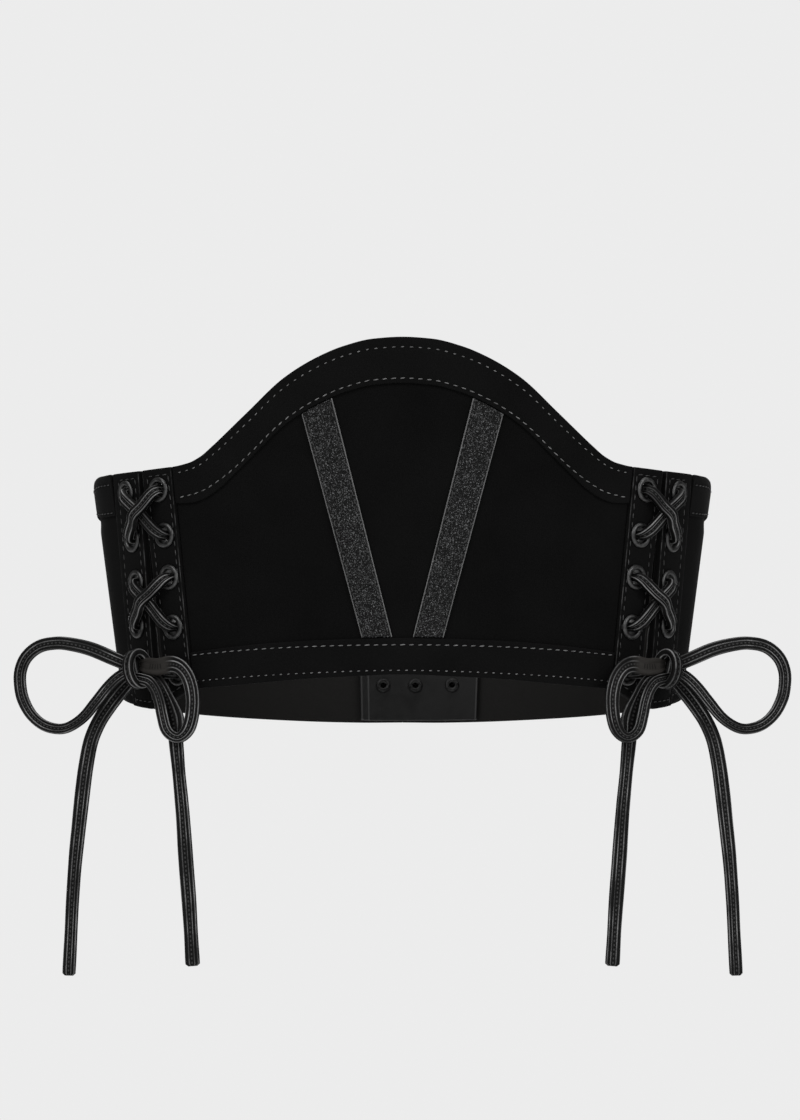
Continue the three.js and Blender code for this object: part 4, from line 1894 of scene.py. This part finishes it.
@dataclass(frozen=True)
class Dive:
    """How a strand leaves an eyelet: distance along it, distance out and share of its full section."""

    along: float
    out: float
    size: float


DIVE_OUTSIDE = (Dive(0.0002, 0.0023, 0.84), Dive(0.0014, 0.00395, 0.95), Dive(0.0044, 0.00485, 1))
DIVE_INSIDE = (Dive(0.0003, -0.0045, 0.88), Dive(0.0022, -0.0058, 1))
BORE_OUT, BORE_SIZE = -0.001, 0.84

# The same on the way to the knot, with the distance along as a share
FRONT_TO_KNOT = (
    Dive(0.01, 0.0024, 0.84), Dive(0.09, 0.0041, 0.93), Dive(0.28, 0.0051, 1), Dive(0.55, 0.0051, 1),
    Dive(0.88, 0.0054, 1),
)
BACK_TO_KNOT = (Dive(0.02, 0.0023, 0.84), Dive(0.3, 0.0044, 0.95), Dive(0.7, 0.0072, 1))


class Strand(Enum):
    """Ways that a strand runs between two eyelets: how far out its middle lies."""

    OVER = 0.0076
    UNDER = 0.0039
    INSIDE = -0.0058


@dataclass(frozen=True)
class KnotPlace:
    """Where the middle of the knot lies: angle, height and distance out."""

    angle: float = 60.5
    height: float = 0.008
    out: float = 0.0085


KNOT = KnotPlace()


@dataclass(frozen=True)
class Wrap:
    """One turn of lace round the knot.

    Attributes:
        lean: slip across for each unit of height.
        shift: distance of its middle across from the knot's.
        ahead: distance of its middle out from the knot's.
        tall: half height of its middle line.
        deep: half depth of its middle line.
    """

    lean: float
    shift: float
    ahead: float
    tall: float
    deep: float


WRAPS = (Wrap(-0.04, 0.0052, 0.0038, 0.0073, 0.0052), Wrap(-0.25, 0.0016, 0.0, 0.0066, 0.0027))


@dataclass
class ThreadedLace:
    """The lace of one side from the knot through all ten eyelets and back to the knot."""

    side: Side

    def bores(self, eyelets: Sequence[tuple[float, float]]) -> list[Station]:
        """The stations in the bores of one column."""
        return [Station(angle, height, BORE_OUT, BORE_SIZE, False) for angle, height in eyelets]

    def strand(self, start: Station, end: Station, kind: Strand) -> list[Station]:
        """Stations of one strand between two eyelets.

        Args:
            start: the eyelet that it leaves.
            end: the eyelet that it enters.
            kind: over, under or inside.

        Returns:
            The stations in order, without the eyelets' own.
        """
        dive = DIVE_INSIDE if kind is Strand.INSIDE else DIVE_OUTSIDE
        shares = (0.25, 0.5, 0.75) if kind is Strand.OVER else (0.5,)
        span = (FORM.point(start.angle, start.height, 0) - FORM.point(end.angle, end.height, 0)).length
        rim = dive[-1]

        def at(share: float, out: float, size: float, flat: bool) -> Station:
            """A station at a share of the way."""
            angle, height = mix(start.angle, end.angle, share), mix(start.height, end.height, share)
            return Station(angle, height, out, size, flat)

        leave = [at(step.along / span, step.out, step.size, step is rim) for step in dive]
        enter = [at(1 - step.along / span, step.out, step.size, step is rim) for step in reversed(dive)]
        edge = rim.along / span
        bulges = [mix(rim.out, kind.value, math.sin(math.pi * share) ** 3) for share in shares]
        middle = [at(mix(edge, 1 - edge, share), out, 1, True) for share, out in zip(shares, bulges)]
        return [*leave, *middle, *enter]

    def to_knot(self, start: Station, steps: Sequence[Dive]) -> list[Station]:
        """Runs the lace from the lowest eyelet of a column to the knot.

        Args:
            start: the eyelet.
            steps: how it leaves the eyelet, with the way to the knot as shares.

        Returns:
            The stations in order, without the eyelet's own.
        """
        found = []
        for step in steps:
            angle = mix(start.angle, KNOT.angle, step.along)
            height = mix(start.height, KNOT.height, step.along)
            found.append(Station(angle, height, step.out, step.size, step.size == 1))
        return found

    def stations(self) -> list[Station]:
        """Threads the lace through the eyelets.

        Returns:
            All the stations, in the order of the lacing.
        """
        front, back = self.bores(FRONT_EYELETS), self.bores(BACK_EYELETS)
        hops = (
            (front[4], front[3], Strand.INSIDE), (front[3], back[2], Strand.UNDER),
            (back[2], back[1], Strand.INSIDE), (back[1], front[0], Strand.OVER),
            (front[0], back[0], Strand.INSIDE), (back[0], front[1], Strand.UNDER),
            (front[1], front[2], Strand.INSIDE), (front[2], back[3], Strand.OVER),
            (back[3], back[4], Strand.INSIDE),
        )
        found = [*reversed(self.to_knot(front[4], FRONT_TO_KNOT)), front[4]]
        for start, end, kind in hops:
            found += [*self.strand(start, end, kind), end]
        return found + self.to_knot(back[4], BACK_TO_KNOT)

    def build(self) -> None:
        """Sweeps the lace through the eyelets."""
        stations = self.stations()
        corners = [self.side.turned(FORM.point(s.angle, s.height, s.out)) for s in stations]
        route = centred_route(corners, LACE.step)
        wanted: dict[int, Vector] = {}
        for number, station in enumerate(stations):
            if station.flat:
                nearest = min(range(len(route)), key=lambda i: abs(route[i][1] - number))
                wanted[nearest] = self.side.turned(FORM.outward(station.angle, station.height))
        sizes = []
        for _, at in route:
            low = min(int(at), len(stations) - 2)
            size = mix(stations[low].size, stations[low + 1].size, smooth(at - low))
            sizes.append((size, size))
        line = [point for point, _ in route]
        run = LaceRun(line, facings(line, wanted), sizes)
        run.build(f"fine_lace_{self.side.label}", f"lace_{self.side.label}")


class FarEnd(Enum):
    """What a free strand of the bow ends in."""

    KNOT = "object"
    BARE = "bare"


@dataclass(frozen=True)
class BowStrand:
    """A free strand of the bow, on the right.

    Attributes:
        name: its name.
        far_end: what it ends in.
        widths: share of its full width at shares of its length, wider where it is pressed flat.
        points: the points that it follows.
        finish: its leather.
        pressed: share of its length where it is pressed flattest.
        press: how far it is moved there.
    """

    name: str
    far_end: FarEnd
    widths: tuple[tuple[float, float], ...]
    points: tuple[tuple[float, float, float], ...]
    finish: Finish = LACE_LEATHER
    pressed: float = 0.11
    press: tuple[float, float, float] = (0.0, 0.0, 0.0)

    def route(self) -> list[Vector]:
        """Runs the strand through its points.

        Returns:
            Places close together along it.
        """
        line = [point for point, _ in centred_route([Vector(point) for point in self.points], LACE.step)]
        count, press = len(line) - 1, Vector(self.press)
        shares = (fade(i / count - self.pressed, self.pressed) for i in range(count + 1))
        return [point + press * share for point, share in zip(line, shares)]

    def width_at(self, share: float) -> float:
        """Width at a place along the strand.

        Args:
            share: share of the strand's length.

        Returns:
            Share of the full width.
        """
        row = next(i for i in range(len(self.widths) - 1) if share <= self.widths[i + 1][0] + 1e-9)
        (start, first), (end, second) = self.widths[row : row + 2]
        return mix(first, second, smooth((share - start) / (end - start)))


BOW_STRANDS = (
    BowStrand(
        "loop_back", FarEnd.KNOT,
        (
            (0, 1.1), (0.12, 1.18), (0.3, 1.07), (0.5, 1.02), (0.62, 0.92), (0.75, 0.84), (0.85, 0.92),
            (1, 0.9),
        ),
        (
            (0.116, -0.0475, 0.0075), (0.121, -0.047, 0.0095), (0.127, -0.0475, 0.012),
            (0.1369, -0.047, 0.0162), (0.146, -0.045, 0.0186), (0.1525, -0.0425, 0.0194),
            (0.1602, -0.039, 0.0183), (0.166, -0.036, 0.014), (0.1687, -0.034, 0.0079),
            (0.1686, -0.0345, 0.001), (0.1671, -0.036, -0.005), (0.1633, -0.039, -0.0118),
            (0.1577, -0.0425, -0.0168), (0.1511, -0.046, -0.019), (0.146, -0.0485, -0.0184),
            (0.1398, -0.0505, -0.0145), (0.134, -0.052, -0.0078), (0.129, -0.0526, -0.0015),
            (0.1248, -0.052, 0.0028), (0.121, -0.0505, 0.0053), (0.1175, -0.049, 0.0065),
        ),
    ),
    BowStrand(
        "loop_front", FarEnd.KNOT,
        (
            (0, 0.85), (0.08, 1.45), (0.17, 1.45), (0.3, 1.2), (0.52, 1.14), (0.6, 0.86), (0.68, 0.98),
            (1, 0.9),
        ),
        (
            (0.116, -0.049, 0.0085), (0.112, -0.054, 0.0088), (0.107, -0.0585, 0.0083),
            (0.101, -0.0635, 0.0075), (0.0964, -0.0675, 0.0054), (0.093, -0.0705, 0.0007),
            (0.0912, -0.072, -0.0054), (0.0908, -0.0723, -0.0116), (0.0916, -0.0718, -0.0183),
            (0.0935, -0.0708, -0.023), (0.0966, -0.0698, -0.0255), (0.0997, -0.069, -0.0248),
            (0.1024, -0.068, -0.0218), (0.1041, -0.0668, -0.0159), (0.1055, -0.0653, -0.0094),
            (0.1075, -0.063, -0.0038), (0.1103, -0.0598, 0.0), (0.1136, -0.0564, 0.0016),
            (0.1174, -0.0518, 0.0028),
        ),
        TURNED_LACE, press=(0.0, -0.0013, -0.0017),
    ),
    BowStrand(
        "tail_back", FarEnd.BARE,
        (
            (0, 1.05), (0.08, 1.3), (0.2, 1.24), (0.42, 1.26), (0.56, 1.18), (0.7, 1.08), (0.85, 1.04),
            (0.95, 1.08), (1, 1.08),
        ),
        (
            (0.117, -0.047, 0.004), (0.121, -0.0465, 0.0005), (0.125, -0.0465, -0.004),
            (0.129, -0.0468, -0.0095), (0.133, -0.047, -0.016), (0.1363, -0.047, -0.024),
            (0.1383, -0.047, -0.034), (0.1397, -0.047, -0.045), (0.1411, -0.047, -0.059),
            (0.1427, -0.047, -0.076), (0.1438, -0.047, -0.094), (0.1444, -0.047, -0.11),
            (0.1451, -0.047, -0.127),
        ),
    ),
    BowStrand(
        "tail_front", FarEnd.BARE,
        (
            (0, 0.95), (0.13, 1.15), (0.225, 1.85), (0.285, 1.2), (0.4, 1.06), (0.5, 1.12), (0.66, 1.22),
            (0.76, 1.22), (0.9, 1.13), (1, 1.2),
        ),
        (
            (0.115, -0.049, 0.0032), (0.1113, -0.0534, 0.0026), (0.1078, -0.0562, 0.0014),
            (0.1052, -0.0578, -0.0018), (0.1023, -0.0595, -0.008), (0.1003, -0.0608, -0.0145),
            (0.0991, -0.062, -0.0204), (0.0984, -0.063, -0.027), (0.097, -0.0635, -0.041),
            (0.0953, -0.064, -0.058), (0.0938, -0.064, -0.078), (0.0921, -0.064, -0.099),
            (0.0905, -0.064, -0.124),
        ),
    ),
)


@dataclass
class Bow:
    """The bow of one side: its knot, two loops and two hanging ends.

    Attributes:
        side: which side.
        tip: length of the pressed end of a hanging strand.
        tip_thickness: share of the full thickness at its end.
        tip_rounding: length over which its corners are rounded off.
        tip_trim: how much they are.
    """

    side: Side
    tip: float = 0.004
    tip_thickness: float = 0.72
    tip_rounding: float = 0.0011
    tip_trim: float = 0.6

    # Direction that the strands' broad sides face on the right
    FACING = Vector((0.25, -1, 0)).normalized()
    WRAP_STEPS = 48

    def axes(self) -> tuple[Vector, Vector, Vector, Vector]:
        """Finds how the knot sits.

        Returns:
            The knot's centre on the right, and its directions across, out and up.
        """
        out = FORM.outward(KNOT.angle, KNOT.height)
        up = (Vector((0, 0, 1)) - out * out.z).normalized()
        return FORM.point(KNOT.angle, KNOT.height, KNOT.out), out.cross(up), out, up

    def knot(self) -> bpy.types.Object:
        """Winds the strand that ties the bow round its middle.

        Returns:
            The new piece.
        """
        centre, across, out, up = self.axes()
        bm = bmesh.new()
        for wrap in WRAPS:
            line, faces = [], []
            for depth, rise in arc(math.tau, self.WRAP_STEPS):
                slip = wrap.shift + wrap.lean * wrap.tall * rise
                reach = out * (wrap.ahead + wrap.deep * depth) + up * wrap.tall * rise + across * slip
                face = (out * depth / wrap.deep + up * rise / wrap.tall).normalized()
                line.append(self.side.turned(centre + reach))
                faces.append(self.side.turned(face))
            tangents = directions(line, closed=True)
            faces = [(face - t * face.dot(t)).normalized() for face, t in zip(faces, tangents)]
            LaceRun(line, faces, [(1.0, 1.0)] * len(line), closed=True).add_to(bm)
        return finished(bm, f"fine_knot_{self.side.label}", [LACE_LEATHER], [f"knot_{self.side.label}"])

    def sizes(self, strand: BowStrand, line: Sequence[Vector]) -> list[tuple[float, float]]:
        """Width and thickness of each section, pressed flat at a bare end.

        Args:
            strand: the strand.
            line: where its sections stand.

        Returns:
            Shares of the full width and thickness.
        """
        count = len(line) - 1
        found = []
        for i in range(count + 1):
            width = strand.width_at(i / count)
            left = (count - i) * LACE.step
            pressed = rounded = 0.0
            if strand.far_end is FarEnd.BARE:
                pressed = smooth(1 - left / self.tip)
                rounded = fade(left, self.tip_rounding) ** 2 * self.tip_trim
            trim = math.sqrt(1 - rounded)
            found.append((width * trim, mix(1.0, self.tip_thickness, pressed) * trim / math.sqrt(width)))
        return found

    def build(self) -> None:
        """Makes the knot, the loops and the hanging ends."""
        label = self.side.label
        knot = self.knot()
        centre = self.side.turned(self.axes()[0])
        facing = self.side.turned(self.FACING)
        for strand in BOW_STRANDS:
            line = [self.side.turned(point) for point in strand.route()]
            faces = facings(line, dict.fromkeys(range(len(line)), facing))
            run = LaceRun(line, faces, self.sizes(strand, line))
            piece = run.build(f"fine_{strand.name}_{label}", f"{strand.name}_{label}", strand.finish)
            run.length


@dataclass(frozen=True)
class Lamp:
    """A soft square light: its name, its place, the length of its side and its power in watts."""

    name: str
    place: tuple[float, float, float]
    size: float
    power: float


LAMPS = (
    Lamp("key", (-1.6, -2.2, 1.8), 1.6, 50),
    Lamp("fill", (1.8, -2.0, 1.2), 1.6, 38),
    Lamp("top", (0.0, 0.1, 2.2), 1.8, 34),
    Lamp("low", (0.0, -2.4, -0.2), 1.2, 9),
    Lamp("back_left", (-0.7, 2.8, 0.9), 1.4, 26),
    Lamp("back_right", (0.7, 2.8, 0.9), 1.4, 26),
)


@dataclass
class Studio:
    """Camera, pale surroundings, floor and soft lights.

    Attributes:
        target: point that the camera looks at.
        distance: from the camera to it.
        rise: degrees that the camera looks up.
        lens: focal length in millimetres.
        sensor: width of its film in millimetres.
        floor: height of the floor.
        floor_radius: radius of the floor.
        floor_tones: its darkest and lightest tone.
        backdrop: tone of the surroundings, as the camera sees them.
        surround: how strong they are as light.
    """

    target: tuple[float, float, float] = (-0.0011, 0.0, 0.0628)
    distance: float = 2.2
    rise: float = 8.54
    lens: float = 157.1
    sensor: float = 36
    floor: float = -0.45
    floor_radius: float = 14
    floor_tones: tuple[float, float] = (0.78, 0.8)
    backdrop: float = 0.84
    surround: float = 0.2

    def camera(self) -> None:
        """Sets the camera at the photograph's angle."""
        turn = math.radians(self.rise)
        look = Vector((0, math.cos(turn), math.sin(turn)))
        data = bpy.data.cameras.new("camera")
        data.lens = self.lens
        data.sensor_width = self.sensor
        camera = placed("camera", data)
        camera.location = Vector(self.target) - look * self.distance
        camera.rotation_euler = look.to_track_quat("-Z", "Y").to_euler()
        bpy.context.scene.camera = camera

    def world(self) -> None:
        """Pale surroundings, dimmer as light than as backdrop."""
        world = bpy.data.worlds.new("studio")
        world.use_nodes = True
        tree = world.node_tree
        back = tree.nodes["Background"]
        back.inputs["Color"].default_value = (*grey(self.backdrop), 1.0)
        seen = tree.nodes.new("ShaderNodeLightPath")
        strength = tree.nodes.new("ShaderNodeMapRange")
        strength.inputs["To Min"].default_value = self.surround
        strength.inputs["To Max"].default_value = 1.0
        tree.links.new(seen.outputs["Is Camera Ray"], strength.inputs["Value"])
        tree.links.new(strength.outputs[0], back.inputs["Strength"])
        bpy.context.scene.world = world
        bpy.context.scene.view_settings.view_transform = "Standard"

    def light(self, lamp: Lamp) -> None:
        """Hangs a light that points at the belt.

        Args:
            lamp: the light.
        """
        data = bpy.data.lights.new(lamp.name, "AREA")
        data.size = lamp.size
        data.energy = lamp.power
        hung = placed(lamp.name, data)
        hung.location = lamp.place
        hung.rotation_euler = (Vector(self.target) - Vector(lamp.place)).to_track_quat("-Z", "Y").to_euler()

    def ground(self) -> None:
        """A wide pale floor far below the belt."""
        bm = bmesh.new()
        bmesh.ops.create_circle(bm, cap_ends=True, radius=self.floor_radius, segments=96)
        bmesh.ops.translate(bm, vec=(0, 0, self.floor), verts=bm.verts[:])
        recipe = Recipe("pale_floor")
        deep, light = map(grey, self.floor_tones)
        recipe.set("Base Color", recipe.tones(recipe.noise(3.0), ((0.3, deep), (0.7, light))))
        recipe.set("Roughness", 0.9)
        floor = placed("floor", meshed(bm, "floor"))
        floor.data.materials.append(recipe.material)

    def build(self) -> None:
        """Sets up the studio."""
        self.camera()
        self.world()
        self.ground()
        for lamp in LAMPS:
            self.light(lamp)


def main() -> None:
    """Builds the belt and its studio."""
    logging.basicConfig(level=logging.INFO, format="%(message)s")
    Studio().build()
    for side in Side:
        Bow(side).build()
        ThreadedLace(side).build()
    FrontBody().build()
    for side in Side:
        Strap(side).build()
        Lacing(side).build()
        BackBody(side).build()
    BackTab().build()


if __name__ == "__main__":
    main()
